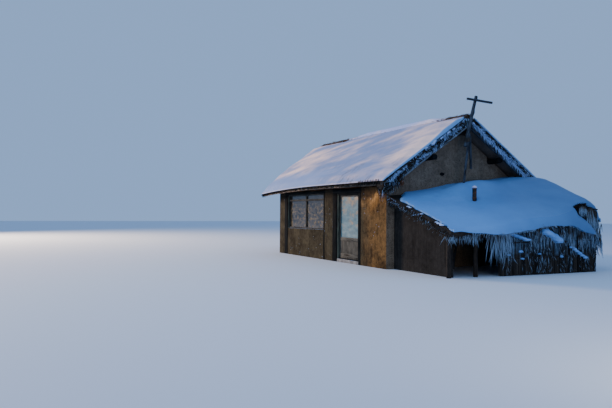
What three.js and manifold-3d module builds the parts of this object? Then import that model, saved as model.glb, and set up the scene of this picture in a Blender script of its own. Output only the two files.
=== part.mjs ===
// A snow-covered thatched farmhouse with earth walls: a two-bay house under a gabled reed roof,
// an open lean-to shed against its right gable, and a service mast lashed to the gable's ridge end.
// Millimetres, +Z up, +X along the ridge towards the shed, the window front faces -Y.
// The origin is the bottom centre of the whole object.
import * as THREE from "three";
import { mergeVertices } from "three/addons/utils/BufferGeometryUtils.js";
import Module from "manifold-3d";

const wasm = await Module();
wasm.setup();

// Driving dimensions of the house
const HOUSE_LENGTH = 7200; // over the gable walls
const HALF_DEPTH = 2400; // ridge line to the outer face of the front or back wall
const WALL_THICK = 350;
const ROOF_HALF_SPAN = 2800; // ridge line to eave edge
const EAVE_TOP = 2360; // top of the reed at the eave edge
const ROOF_SLOPE = 0.68; // rise per run, about 34 degrees
const THATCH_DROP = 280; // vertical thickness of the reed
const EAVE_EDGE = 75; // thickness of the trimmed eave edge
const RIDGE_FLAT = 4150; // where the reed is cut level under the ridge roll
const RIDGE_ROLL_HALF_WIDTH = 160;
const RIDGE_ROLL_HEIGHT = 130;
const RIGHT_OVERHANG = 470;
const VERGE_BAND = 300; // the full-thickness band of reed at a verge
const LEFT_DROOP = 150; // how far the eave hangs down at its left corner
const LEFT_OVERHANG_EAVE = 778;
const LEFT_OVERHANG_RIDGE = 1120; // the left verge leans out towards the ridge
const SHED_REACH = 2630; // from the gable wall to the shed's eave edge
const GAP = 0.4; // seat gap between pieces that rest on a slope

// Places along the ridge
const HALF_LENGTH = (LEFT_OVERHANG_RIDGE + HOUSE_LENGTH + SHED_REACH) / 2;
const GABLE_X = HALF_LENGTH - SHED_REACH; // outer face of the right gable wall
const LEFT_X = GABLE_X - HOUSE_LENGTH; // outer face of the left gable wall
const INNER_RIGHT = GABLE_X - WALL_THICK;
const INNER_LEFT = LEFT_X + WALL_THICK;
const VERGE_X = GABLE_X + RIGHT_OVERHANG;
const INNER_Y = HALF_DEPTH - WALL_THICK;

// Roof timber
const RAFTER_R = 34;
const RAFTER_PITCH = 520;
const BATTEN_R = 20;
const RAFTER_COUNT = 17;
const LAST_RAFTER_X = VERGE_X - 45;
const RIDGE_PURLIN_R = 80;
const PURLIN_R = 75;
const MID_PURLIN_Y = 1150;
const PLATE_Y = 2225;
const SECANT = Math.hypot(1, ROOF_SLOPE);

// Openings of the front wall, measured leftwards from the right gable's outer face
const DOOR_RIGHT = 1450;
const DOOR_LEFT = 2750;
const WINDOW_RIGHT = 3650;
const WINDOW_LEFT = 6450;
const DOOR_POST_LEFT = 280;
const DOOR_POST_RIGHT = 120;
const WINDOW_POST_LEFT = 290;
const WINDOW_POST_RIGHT = 80;
const POST_DEPTH = 210;
const POST_PROUD = 10;
const DOOR_HEAD = 2095;
const WINDOW_HEAD = 2130;
const WINDOW_SILL = 950;
const FLOOR_TOP = 100;

// The lean-to shed
const SHED_FRONT_Y = -2380;
const SHED_BACK_Y = 2600;
const SHED_THATCH = 150;
const SHED_WALL_TOP = 1980; // top of the reed at the front end of the wall line
const SHED_EAVE_TOP = 1120; // top of the reed at the front end of the eave line
const SHED_CLIMB = 0.0625; // rise per run from the shed's front end to its back end
const SHED_POLE_R = 60;
const SHED_RAFTER_R = 30;
const SHED_BEAM_OUT = 2400; // gable wall to the axis of the eave beam

// Mast and stovepipe
const MAST_OUT = 525; // gable wall to the axis of the mast
const MAST_TOP = 4790;
const PIPE_OUT = 1330;
const PIPE_Y = -550;
const PIPE_R = 55;
const PIPE_TOP = 2175;

const FINISHES = {
  earth: [0x7a5a3a, 0.95, 0],
  floor_earth: [0x5f4c3a, 0.95, 0],
  stone: [0x6d6a66, 0.85, 0],
  dark_timber: [0x2e241c, 0.8, 0],
  pole_timber: [0x5b4634, 0.8, 0],
  pale_timber: [0x8d8372, 0.75, 0],
  reed: [0x4a3a28, 0.95, 0],
  stalks: [0x8a7b60, 0.95, 0],
  snow: [0xe8eef6, 0.6, 0],
  glass: [0x8fb0c4, 0.1, 0],
  iron: [0x33302e, 0.5, 0.8],
};
const materials = {};
for (const [name, [color, roughness, metalness]] of Object.entries(FINISHES)) {
  materials[name] = new THREE.MeshStandardMaterial({ name, color, roughness, metalness });
}

const house = new THREE.Group();

function add(name, geometry, finish) {
  const mesh = new THREE.Mesh(geometry, materials[finish]);
  mesh.name = name;
  house.add(mesh);
  return mesh;
}

// Solids and booleans
function toSolid(geometry) {
  const bare = geometry.clone();
  bare.deleteAttribute("normal");
  bare.deleteAttribute("uv");
  const merged = mergeVertices(bare, 1e-3);
  return new wasm.Manifold(new wasm.Mesh({
    numProp: 3,
    vertProperties: new Float32Array(merged.attributes.position.array),
    triVerts: new Uint32Array(merged.index.array),
  }));
}

function toGeometry(solid) {
  const mesh = solid.getMesh();
  const geometry = new THREE.BufferGeometry();
  geometry.setAttribute("position", new THREE.BufferAttribute(mesh.vertProperties, 3));
  geometry.setIndex(new THREE.BufferAttribute(mesh.triVerts, 1));
  geometry.computeVertexNormals();
  return geometry;
}

function cut(geometry, tools) {
  let solid = toSolid(geometry);
  for (const tool of tools) {
    solid = solid.subtract(toSolid(tool));
  }
  return toGeometry(solid);
}

function join(geometries) {
  let solid = toSolid(geometries[0]);
  for (const other of geometries.slice(1)) {
    solid = solid.add(toSolid(other));
  }
  return toGeometry(solid);
}

function box(x0, x1, y0, y1, z0, z1) {
  return new THREE.BoxGeometry(x1 - x0, y1 - y0, z1 - z0)
    .translate((x0 + x1) / 2, (y0 + y1) / 2, (z0 + z1) / 2);
}

// A round pole between two points, with corners of its facets straight up, down and sideways
function pole(from, to, fromRadius, toRadius = fromRadius, sides = 12) {
  const start = new THREE.Vector3(...from);
  const along = new THREE.Vector3(...to).sub(start);
  const length = along.length();
  along.normalize();
  const level = Math.abs(along.z) > 0.95 ? new THREE.Vector3(1, 0, 0) : new THREE.Vector3(0, 0, 1);
  const side = along.clone().cross(level).normalize();
  const up = side.clone().cross(along);
  return new THREE.CylinderGeometry(toRadius, fromRadius, length, sides)
    .translate(0, length / 2, 0)
    .applyMatrix4(new THREE.Matrix4().makeBasis(side, along, up).setPosition(start));
}

function outline(points) {
  return new THREE.Shape(points.map(([u, v]) => new THREE.Vector2(u, v)));
}

function extruded(shape, depth) {
  return new THREE.ExtrudeGeometry(shape, { depth, bevelEnabled: false, curveSegments: 6 });
}

// A prism along X from an outline of (y, z) points
function prismX(points, x0, x1) {
  const place = new THREE.Matrix4().set(0, 0, 1, x0, 1, 0, 0, 0, 0, 1, 0, 0, 0, 0, 0, 1);
  return extruded(outline(points), x1 - x0).applyMatrix4(place);
}

// A prism along Y from an outline of (x, z) points
function prismY(points, y0, y1) {
  return extruded(outline(points), y1 - y0).rotateX(Math.PI / 2).translate(0, y1, 0);
}

// An upright panel with rectangular holes, each given as [x0, x1, z0, z1]
function framed([x0, x1, z0, z1], y0, y1, holes) {
  return cut(box(x0, x1, y0, y1, z0, z1),
    holes.map(([left, right, low, high]) => box(left, right, y0 - 10, y1 + 10, low, high)));
}

function smooth(low, high, value) {
  return THREE.MathUtils.smoothstep(value, low, high);
}

// A closed blanket over a plan given by place(u, v), from a flat underside to a curved top
function blanket(columns, rows, place, bottom, top) {
  const positions = [];
  const index = [];
  const across = rows + 1;
  for (const height of [bottom, top]) {
    for (let i = 0; i <= columns; i++) {
      for (let j = 0; j <= rows; j++) {
        const [x, y] = place(i / columns, j / rows);
        positions.push(x, y, height(x, y));
      }
    }
  }
  const lid = (columns + 1) * across;
  for (let i = 0; i < columns; i++) {
    for (let j = 0; j < rows; j++) {
      const a = i * across + j;
      const b = a + across;
      index.push(lid + a, lid + b, lid + b + 1, lid + a, lid + b + 1, lid + a + 1);
      index.push(a, b + 1, b, a, a + 1, b + 1);
    }
  }
  const rim = [];
  for (let i = 0; i < columns; i++) rim.push(i * across);
  for (let j = 0; j < rows; j++) rim.push(columns * across + j);
  for (let i = columns; i > 0; i--) rim.push(i * across + rows);
  for (let j = rows; j > 0; j--) rim.push(j);
  rim.forEach((a, k) => {
    const b = rim[(k + 1) % rim.length];
    index.push(a, b, lid + b, a, lid + b, lid + a);
  });
  const geometry = new THREE.BufferGeometry();
  geometry.setAttribute("position", new THREE.Float32BufferAttribute(positions, 3));
  geometry.setIndex(index);
  geometry.computeVertexNormals();
  return geometry;
}

// Heights of the roof's layers above the ground at a distance y from the ridge line
const roofTop = (y) => EAVE_TOP + ROOF_SLOPE * (ROOF_HALF_SPAN - Math.abs(y));
const thatchUnder = (y) => roofTop(y) - THATCH_DROP;
const rafterAxis = (y) => thatchUnder(y) - RAFTER_R * SECANT - GAP;
const rafterUnder = (y) => rafterAxis(y) - RAFTER_R * SECANT - GAP;
const purlinAxis = (y, radius) => rafterUnder(y) - radius * SECANT;
const leftVerge = (y) => LEFT_X - LEFT_OVERHANG_EAVE
  - (LEFT_OVERHANG_RIDGE - LEFT_OVERHANG_EAVE) * (1 - Math.abs(y) / ROOF_HALF_SPAN);
const WALL_TOP = Math.floor(purlinAxis(PLATE_Y, PURLIN_R) - PURLIN_R);

// Heights of the shed's layers at a distance out from the gable wall: the whole slope climbs a little
// towards the back
const SHED_SLOPE = (SHED_WALL_TOP - SHED_EAVE_TOP) / SHED_REACH;
const SHED_SECANT = Math.hypot(1, SHED_SLOPE, SHED_CLIMB);
const shedTop = (out, y) => SHED_WALL_TOP - SHED_SLOPE * out + SHED_CLIMB * (y - SHED_FRONT_Y);
const shedRafterAxis = (out, y) => shedTop(out, y) - SHED_THATCH - SHED_RAFTER_R * SHED_SECANT - GAP;
const FACET_SAG = 1.3; // a beam's facets lie this far inside its round where a rafter crosses
const shedBeamAxis = (out, y) =>
  shedRafterAxis(out, y) - (SHED_RAFTER_R + SHED_POLE_R) * SHED_SECANT - GAP + FACET_SAG;

function buildFloor() {
  add("floor_slab", box(INNER_LEFT, INNER_RIGHT, -INNER_Y, INNER_Y, 0, FLOOR_TOP), "floor_earth");
  add("door_sill", box(GABLE_X - DOOR_LEFT, GABLE_X - DOOR_RIGHT, -HALF_DEPTH, -INNER_Y, 0, FLOOR_TOP), "stone");
}

// Timber posts beside an opening, with the lintel that they carry, as one surround
const POST_FRONT = -HALF_DEPTH - POST_PROUD;
const POST_BACK = POST_FRONT + POST_DEPTH;

function surround(far, near, farPost, nearPost, head) {
  const part = (left, right, low, high) => box(GABLE_X - left, GABLE_X - right, POST_FRONT, POST_BACK, low, high);
  return join([part(far + farPost, far, 0, head), part(near, near - nearPost, 0, head),
    part(far + farPost, near - nearPost, head, WALL_TOP)]);
}

// The tie beam of the one roof truss sits in pockets over the pier between the openings
const TRUSS_X = GABLE_X - (DOOR_LEFT + WINDOW_RIGHT) / 2;
const TIE_HALF_WIDTH = 80;
const TIE_BOTTOM = 2000;
const TIE_TOP = 2200;
const TIE_BEARING = 130;

function tiePocket(side) {
  const near = side * INNER_Y;
  const far = side * (INNER_Y + TIE_BEARING);
  return box(TRUSS_X - TIE_HALF_WIDTH, TRUSS_X + TIE_HALF_WIDTH,
    Math.min(near, far), Math.max(near, far), TIE_BOTTOM, WALL_TOP + 10);
}

function buildFrontWall() {
  const aroundWindow = surround(WINDOW_LEFT, WINDOW_RIGHT, WINDOW_POST_LEFT, WINDOW_POST_RIGHT, WINDOW_HEAD);
  const aroundDoor = surround(DOOR_LEFT, DOOR_RIGHT, DOOR_POST_LEFT, DOOR_POST_RIGHT, DOOR_HEAD);
  const window = box(GABLE_X - WINDOW_LEFT, GABLE_X - WINDOW_RIGHT, -HALF_DEPTH - 20, -INNER_Y + 10,
    WINDOW_SILL, WINDOW_HEAD);
  const wall = (far, near, z0) => box(GABLE_X - far, GABLE_X - near, -HALF_DEPTH, -INNER_Y, z0, WALL_TOP);
  const leftPart = wall(HOUSE_LENGTH - WALL_THICK, DOOR_LEFT, 0);
  add("front_wall_left", cut(leftPart, [window, aroundWindow, aroundDoor, tiePocket(-1)]), "earth");
  add("front_wall_right", cut(wall(DOOR_RIGHT, WALL_THICK, 0), [aroundDoor]), "earth");
  add("front_wall_over_door", cut(wall(DOOR_LEFT, DOOR_RIGHT, DOOR_HEAD), [aroundDoor]), "earth");
  add("window_surround", aroundWindow, "dark_timber");
  add("door_surround", aroundDoor, "dark_timber");
}

// The back wall repeats the earth and timber of the front, with two small windows
const BACK_WINDOW_HALF_WIDTH = 450;
const BACK_WINDOW_BOTTOM = 1150;
const BACK_WINDOW_TOP = 1850;
const BACK_WINDOWS_X = [GABLE_X - 2100, GABLE_X - 5100];

function buildBackWall() {
  const holes = BACK_WINDOWS_X.map((x) => box(x - BACK_WINDOW_HALF_WIDTH, x + BACK_WINDOW_HALF_WIDTH,
    INNER_Y - 10, HALF_DEPTH + 10, BACK_WINDOW_BOTTOM, BACK_WINDOW_TOP));
  const solid = box(INNER_LEFT, INNER_RIGHT, INNER_Y, HALF_DEPTH, 0, WALL_TOP);
  add("back_wall", cut(solid, [...holes, tiePocket(1)]), "earth");
}

// Gable walls, notched from above for the five logs that run through them
const logSpecs = [
  [0, RIDGE_PURLIN_R],
  [MID_PURLIN_Y, PURLIN_R],
  [-MID_PURLIN_Y, PURLIN_R],
  [PLATE_Y, PURLIN_R],
  [-PLATE_Y, PURLIN_R],
];

function buildGableWall(name, x0, x1) {
  const corner = rafterUnder(HALF_DEPTH) - GAP;
  const face = [[-HALF_DEPTH, 0], [HALF_DEPTH, 0], [HALF_DEPTH, corner],
    [0, rafterUnder(0) - GAP], [-HALF_DEPTH, corner]];
  const notches = logSpecs.flatMap(([y, radius]) => {
    const z = purlinAxis(y, radius);
    const grown = radius + GAP;
    return [pole([x0 - 10, y, z], [x1 + 10, y, z], grown), box(x0 - 10, x1 + 10, y - grown, y + grown, z, z + 300)];
  });
  add(name, cut(prismX(face, x0, x1), notches), "earth");
}

// Logs along the house: they project under both verges
function buildLogs() {
  const leftEnd = (y) => Math.round(leftVerge(y)) + 50;
  const log = (y, radius, rightEnd) => {
    const z = purlinAxis(y, radius);
    return pole([leftEnd(y), y, z], [rightEnd, y, z], radius);
  };
  add("ridge_purlin", log(0, RIDGE_PURLIN_R, VERGE_X), "pole_timber");
  for (const [side, sign] of [["front", -1], ["back", 1]]) {
    add(`purlin_${side}`, log(sign * MID_PURLIN_Y, PURLIN_R, VERGE_X - 10), "pole_timber");
    add(`wall_plate_${side}`, log(sign * PLATE_Y, PURLIN_R, VERGE_X - 10), "pole_timber");
  }
}

function buildTruss() {
  const chamfer = 30;
  const half = TIE_HALF_WIDTH - GAP;
  const [low, high] = [TIE_BOTTOM + GAP, TIE_TOP];
  const section = [
    [TRUSS_X - half + chamfer, low], [TRUSS_X + half - chamfer, low], [TRUSS_X + half, low + chamfer],
    [TRUSS_X + half, high - chamfer], [TRUSS_X + half - chamfer, high], [TRUSS_X - half + chamfer, high],
    [TRUSS_X - half, high - chamfer], [TRUSS_X - half, low + chamfer],
  ];
  const reach = INNER_Y + TIE_BEARING - 2;
  const post = (y, radius) =>
    pole([TRUSS_X, y, TIE_TOP - 50], [TRUSS_X, y, purlinAxis(y, radius) - radius - GAP], 58);
  add("roof_truss", join([prismY(section, -reach, reach), post(0, RIDGE_PURLIN_R),
    post(-MID_PURLIN_Y, PURLIN_R), post(MID_PURLIN_Y, PURLIN_R)]), "pole_timber");
}

// Pole rafters on both slopes, tied by thinner battens, and the longer pole under each right verge
function buildRafters(side, sign) {
  const poles = [];
  const head = RAFTER_R * ROOF_SLOPE / SECANT + 6;
  const rafter = (x, foot) => pole([x, sign * foot, rafterAxis(foot)], [x, sign * head, rafterAxis(head)], RAFTER_R,
    RAFTER_R, 8);
  const xOf = (i) => LAST_RAFTER_X - RAFTER_PITCH * i;
  for (let i = 1; i < RAFTER_COUNT; i++) {
    poles.push(rafter(xOf(i), HALF_DEPTH + 20));
  }
  for (const y of [300, 1500, 2350]) {
    const end = (i) => [xOf(i), sign * y, rafterAxis(y)];
    poles.push(pole(end(RAFTER_COUNT - 1), end(1), BATTEN_R, BATTEN_R, 8));
  }
  add(`rafters_${side}`, join(poles), "pole_timber");
  add(`verge_pole_${side}`, rafter(xOf(0), ROOF_HALF_SPAN - 30), "pole_timber");
}

// Reed slopes: thin at the trimmed eave, full thickness in the verge bands, drooping at the left corner
const THATCH_ROWS_Y = [0.5, 168, 700, 1250, 1800, 2200, HALF_DEPTH + 42, 2620, 2740, ROOF_HALF_SPAN];
const THATCH_COLUMNS = 24;

// 1 at the left end of the roof, fading to 0 past its middle
function leftShare(x) {
  const share = THREE.MathUtils.clamp((GABLE_X - 3400 - x) / 4600, 0, 1);
  return share * share;
}

function thatchTop(x, y) {
  const droop = LEFT_DROOP * leftShare(x) * smooth(1500, ROOF_HALF_SPAN, Math.abs(y));
  return Math.min(RIDGE_FLAT, roofTop(y) - droop);
}

function thatchBottom(x, y) {
  const reach = Math.max(0, Math.abs(y) - HALF_DEPTH - 42) / (ROOF_HALF_SPAN - HALF_DEPTH - 42);
  const toVerge = Math.min(VERGE_X - x, x - leftVerge(y));
  const thin = reach * smooth(VERGE_BAND * 0.55, VERGE_BAND * 1.5, toVerge);
  const trimmed = EAVE_TOP - EAVE_EDGE;
  return THREE.MathUtils.lerp(thatchUnder(y), trimmed, thin) - LEFT_DROOP * leftShare(x) * smooth(0, 1, reach);
}

// Columns stand closer together at both verges
function alongRoof(u, y) {
  const eased = u - 0.13 * Math.sin(2 * Math.PI * u);
  return THREE.MathUtils.lerp(leftVerge(y), VERGE_X, eased);
}

function buildThatch(name, sign) {
  const rows = THATCH_ROWS_Y.length - 1;
  const place = (u, v) => {
    const k = Math.round(v * rows);
    const y = sign * THATCH_ROWS_Y[sign < 0 ? rows - k : k];
    return [alongRoof(u, y), y];
  };
  add(name, blanket(THATCH_COLUMNS, rows, place, thatchBottom, thatchTop), "reed");
}

// The straw roll that caps the ridge, a half ellipse on the level cut
const ROLL_STEPS = 8;

function rollPoint(step) {
  const angle = Math.PI * step / ROLL_STEPS;
  return [RIDGE_ROLL_HALF_WIDTH * Math.cos(angle), RIDGE_FLAT + GAP + RIDGE_ROLL_HEIGHT * Math.sin(angle)];
}

function buildRidgeRoll() {
  const points = [];
  for (let step = 0; step <= ROLL_STEPS; step++) {
    points.push(rollPoint(step));
  }
  add("ridge_roll", prismX(points, -HALF_LENGTH, VERGE_X), "reed");
}

// Snow on the slopes: thin at the eave and the verges, drifted thicker below the ridge
const SNOW_HEAD = 200;
const SNOW_ROWS_Y = [SNOW_HEAD, 300, 700, 1250, 1800, 2200, HALF_DEPTH + 42, 2620, 2740, ROOF_HALF_SPAN];

function slopeSnowDepth(x, y) {
  const up = (ROOF_HALF_SPAN - Math.abs(y)) / (ROOF_HALF_SPAN - SNOW_HEAD);
  const fromLeft = x - leftVerge(y);
  const fromRight = VERGE_X - x;
  const eave = 0.35 + 0.65 * smooth(0, 0.09, up);
  const head = 1 - 0.45 * smooth(0.93, 1, up);
  const verges = (0.4 + 0.6 * smooth(0, 260, fromLeft)) * (0.55 + 0.45 * smooth(0, 200, fromRight));
  const waves = 10 * Math.sin(x / 520 + y / 310) + 6 * Math.sin(x / 233 - y / 420);
  return (118 + 22 * up) * eave * head * verges + waves * eave * head * verges;
}

function buildSlopeSnow(name, sign) {
  const rows = SNOW_ROWS_Y.length - 1;
  const place = (u, v) => {
    const k = Math.round(v * rows);
    const y = sign * SNOW_ROWS_Y[sign < 0 ? rows - k : k];
    return [alongRoof(u, y), y];
  };
  const bottom = (x, y) => thatchTop(x, y) + GAP;
  add(name, blanket(THATCH_COLUMNS, rows, place, bottom, (x, y) => bottom(x, y) + slopeSnowDepth(x, y)), "snow");
}

function buildRidgeSnow() {
  const [start, end] = [GABLE_X - 7050, GABLE_X - 250];
  const lines = [6, 5, 4, 3, 2].map(rollPoint);
  const surface = (y) => lines.reduce((best, point) => (Math.abs(point[0] - y) < 1 ? point[1] : best), 0);
  const place = (u, v) => [THREE.MathUtils.lerp(start, end, u), lines[Math.round(v * 4)][0]];
  const depth = (x, y) => 14 + 74 * smooth(start, start + 1500, x) * (1 - smooth(end - 1500, end, x))
    * (1 - (y / RIDGE_ROLL_HALF_WIDTH) ** 2);
  add("snow_ridge",
    blanket(14, 4, place, (x, y) => surface(y) + GAP, (x, y) => surface(y) + GAP + depth(x, y)), "snow");
}

// Windows: bars in front, and one sheet of glass in the rebate behind them
const FRAME_FRONT = -2355;
const FRAME_BACK = -2290;
const REBATE = 24;
const REBATE_MARGIN = 25;
const GLASS_THICK = 6;

function windowLights([x0, x1, z0, z1], columns, barWidth, border, transom) {
  const lights = [];
  const width = (x1 - x0 - 2 * border - (columns - 1) * barWidth) / columns;
  const rows = transom ? [[z0 + border, transom - barWidth / 2], [transom + barWidth / 2, z1 - border]]
    : [[z0 + border, z1 - border]];
  for (let i = 0; i < columns; i++) {
    const left = x0 + border + i * (width + barWidth);
    for (const [low, high] of rows) {
      lights.push([left, left + width, low, high]);
    }
  }
  return lights;
}

// The smallest rectangle round all lights, grown by a margin
function around(lights, margin) {
  const low = (k) => Math.min(...lights.map((light) => light[k])) - margin;
  const high = (k) => Math.max(...lights.map((light) => light[k])) + margin;
  return [low(0), high(1), low(2), high(3)];
}

// inside is +1 where the room lies towards +Y of the frame
function glazed(outer, lights, outerFace, innerFace, inside) {
  const seat = innerFace - inside * REBATE;
  const slab = (a, b, holes) => framed(outer, Math.min(a, b), Math.max(a, b), holes);
  const frame = join([slab(outerFace, seat, lights), slab(seat, innerFace, [around(lights, REBATE_MARGIN)])]);
  const [x0, x1, z0, z1] = around(lights, REBATE_MARGIN - 1);
  const face = seat + inside * GAP;
  const far = face + inside * GLASS_THICK;
  return [frame, box(x0, x1, Math.min(face, far), Math.max(face, far), z0, z1)];
}

function buildFrontWindow() {
  const outer = [GABLE_X - WINDOW_LEFT + GAP, GABLE_X - WINDOW_RIGHT - GAP, WINDOW_SILL + GAP, WINDOW_HEAD - GAP];
  const lights = windowLights(outer, 2, 55, 50, 1930);
  const [frame, glass] = glazed(outer, lights, FRAME_FRONT, FRAME_BACK, 1);
  add("window_frame", frame, "pale_timber");
  add("window_glass", glass, "glass");
}

function buildBackWindows() {
  BACK_WINDOWS_X.forEach((x, i) => {
    const half = BACK_WINDOW_HALF_WIDTH - GAP;
    const outer = [x - half, x + half, BACK_WINDOW_BOTTOM + GAP, BACK_WINDOW_TOP - GAP];
    const [frame, glass] = glazed(outer, windowLights(outer, 2, 45, 55, 0), -FRAME_FRONT, -FRAME_BACK, -1);
    add(`back_window_frame_${i + 1}`, frame, "pale_timber");
    add(`back_window_glass_${i + 1}`, glass, "glass");
  });
}

// Door: frame with a stop, a glazed leaf that swings inwards, and two pairs of hinge knuckles
const JAMB = 45;
const DOOR_FRAME_FRONT = -2386;
const DOOR_FRAME_BACK = -2290;
const THRESHOLD_TOP = 120;
const DOOR_CLEARANCE = 7;
const LEAF_FRONT = -2332;
const STOP_BACK = -2338;
const STOP = 15;
const HINGE_Y = DOOR_FRAME_BACK + 10;
const CLEAR_LEFT = GABLE_X - DOOR_LEFT + JAMB;
const CLEAR_RIGHT = GABLE_X - DOOR_RIGHT - JAMB;
const CLEAR_TOP = DOOR_HEAD - JAMB;
const HINGE_X = CLEAR_LEFT + DOOR_CLEARANCE / 2;

function doorway(margin, y0, y1) {
  const [x0, x1] = [GABLE_X - DOOR_LEFT + GAP, GABLE_X - DOOR_RIGHT - GAP];
  const [top, foot] = [DOOR_HEAD - GAP, FLOOR_TOP + GAP];
  const hole = [CLEAR_LEFT + margin, CLEAR_RIGHT - margin, THRESHOLD_TOP, CLEAR_TOP - margin];
  return framed([x0, x1, foot, top], y0, y1, [hole]);
}

function buildDoorFrame() {
  const body = doorway(0, DOOR_FRAME_FRONT, DOOR_FRAME_BACK);
  const stop = doorway(STOP, DOOR_FRAME_FRONT, STOP_BACK);
  add("door_frame", join([body, stop]), "dark_timber");
}

function buildDoorLeaf() {
  const [x0, x1] = [CLEAR_LEFT + DOOR_CLEARANCE, CLEAR_RIGHT - DOOR_CLEARANCE];
  const [z0, z1] = [THRESHOLD_TOP + DOOR_CLEARANCE, CLEAR_TOP - DOOR_CLEARANCE];
  const stile = 60;
  const lights = [[x0 + stile, x1 - stile, 760, z1 - stile]];
  const [leaf, glass] = glazed([x0, x1, z0, z1], lights, LEAF_FRONT, DOOR_FRAME_BACK, 1);
  const gripX = x1 - 20;
  const [front, back] = [LEAF_FRONT - 42, DOOR_FRAME_BACK + 42];
  const bolt = (z, grow) => pole([gripX, front, z], [gripX, back, z], 8 + grow, 8 + grow, 8);
  const grip = (y) => pole([gripX, y, 950], [gripX, y, 1150], 9, 9, 8);
  add("door_leaf", cut(leaf, [bolt(980, GAP), bolt(1120, GAP)]), "dark_timber");
  add("door_glass", glass, "glass");
  add("door_handle", join([bolt(980, 0), bolt(1120, 0), grip(front + 6), grip(back - 6)]), "iron");
}

function buildHinges() {
  const knuckle = 9;
  const half = 45;
  const plate = (x0, x1, z0, z1) =>
    box(x0, x1, DOOR_FRAME_BACK + GAP, DOOR_FRAME_BACK + GAP + 3, z0, z1);
  for (const [level, z] of [["low", 420], ["high", 1640]]) {
    const turn = [HINGE_X, HINGE_Y];
    add(`hinge_${level}_frame`, join([pole([...turn, z - half], [...turn, z], knuckle),
      plate(HINGE_X - 48, HINGE_X - 2, z - half, z)]), "iron");
    add(`hinge_${level}_leaf`, join([pole([...turn, z + GAP], [...turn, z + half], knuckle),
      plate(HINGE_X + 4, HINGE_X + 54, z + GAP, z + half)]), "iron");
  }
}

// Lean-to shed: log frame, reed roof, stalk walls on its outer and back sides, hanging straw
const shedX = (out) => GABLE_X + out;
const STALK_INNER = SHED_BEAM_OUT + SHED_POLE_R + GAP;
const STALK_OUTER = STALK_INNER + 90;
const STALK_START_Y = -800;
const STALK_BACK_Y = 2436;
const STALK_END_Y = 2510;
const SHED_POSTS_Y = [-2250, -1450, 50, 2370];
const RAFTER_END = SHED_REACH - 90;
const FRINGE_INNER = SHED_REACH - 70;
const FRINGE_OUTER = SHED_REACH - 12;

const propFoot = [shedX(MAST_OUT + 81), -666, -40];
const propHead = [shedX(MAST_OUT + 81), -101, 3700];
const propPole = (grow) => pole(propFoot, propHead, 34 + grow, 30 + grow);
const stovePipe = (grow) =>
  pole([shedX(PIPE_OUT), PIPE_Y, 1250], [shedX(PIPE_OUT), PIPE_Y, PIPE_TOP], PIPE_R + grow, PIPE_R + grow, 16);

// The space that the house roof's back corner takes above the shed
function houseRoofCorner() {
  const [inner, plate, outer] = [1600, PLATE_Y - PURLIN_R - 10, ROOF_HALF_SPAN + 10];
  const under = (y) => rafterUnder(y) - 4;
  const low = WALL_TOP - 3;
  const corner = HALF_DEPTH + (under(HALF_DEPTH) - low) / ROOF_SLOPE;
  return prismX([[inner, under(inner)], [plate, under(plate)], [plate, low], [corner, low], [outer, under(outer)],
    [outer, 4300], [inner, 4300]], GABLE_X - 10, VERGE_X + 2);
}

function shedPlan(out0, out1) {
  return (u, v) => [shedX(THREE.MathUtils.lerp(out0, out1, u)), THREE.MathUtils.lerp(SHED_FRONT_Y, SHED_BACK_Y, v)];
}

function alongShed(out, y0, y1, grow = 0) {
  return pole([shedX(out), y0, shedBeamAxis(out, y0)], [shedX(out), y1, shedBeamAxis(out, y1)], SHED_POLE_R + grow);
}

function buildShedFrame() {
  add("shed_ledger", alongShed(SHED_POLE_R + GAP, -2300, 2330), "pole_timber");
  add("shed_eave_beam", alongShed(SHED_BEAM_OUT, -2310, 2430), "pole_timber");
  SHED_POSTS_Y.forEach((y, i) => {
    const radius = 55;
    const top = shedBeamAxis(SHED_BEAM_OUT, y - radius) - SHED_POLE_R * Math.hypot(1, SHED_CLIMB) - GAP;
    const foot = [shedX(SHED_BEAM_OUT), y, 0];
    add(`shed_post_${i + 1}`, pole(foot, [shedX(SHED_BEAM_OUT), y, top], radius), "pole_timber");
  });
  const rafters = [];
  const count = 8;
  for (let i = 0; i < count; i++) {
    const y = THREE.MathUtils.lerp(-2285, 2350, i / (count - 1));
    rafters.push(pole([shedX(20), y, shedRafterAxis(20, y)], [shedX(RAFTER_END), y, shedRafterAxis(RAFTER_END, y)],
      SHED_RAFTER_R, SHED_RAFTER_R, 8));
  }
  for (const out of [500, 1900]) {
    rafters.push(pole([shedX(out), -2285, shedRafterAxis(out, -2285)], [shedX(out), 2350, shedRafterAxis(out, 2350)],
      BATTEN_R, BATTEN_R, 8));
  }
  add("shed_rafters", join(rafters), "pole_timber");
}

// Values between stops given as [place, value], eased from stop to stop
function eased(stops, place) {
  let k = 0;
  while (k < stops.length - 2 && place > stops[k + 1][0]) k++;
  const [[from, low], [to, high]] = [stops[k], stops[k + 1]];
  return THREE.MathUtils.lerp(low, high, smooth(from, to, place));
}

// Depth of the snow on the shed: it has drifted towards the back and thins at the eave
const SNOW_BY_Y = [[-2380, 25], [-2150, 45], [-1500, 90], [-1000, 145], [-360, 260], [200, 310], [1000, 350],
  [2200, 455], [2440, 430], [2600, 150]];
const SNOW_BY_OUT = [[0, 0.78], [450, 1.04], [800, 1.05], [1270, 0.88], [1900, 0.78], [2280, 0.6], [2480, 0.4],
  [2630, 0.16]];

function shedSnowDepth(out, y) {
  const waves = 9 * Math.sin(out / 310) * Math.sin(y / 420) * (1 - (out / SHED_REACH) ** 4);
  return 14 + eased(SNOW_BY_Y, y) * eased(SNOW_BY_OUT, out) + waves * smooth(-2300, -1500, y);
}

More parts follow.
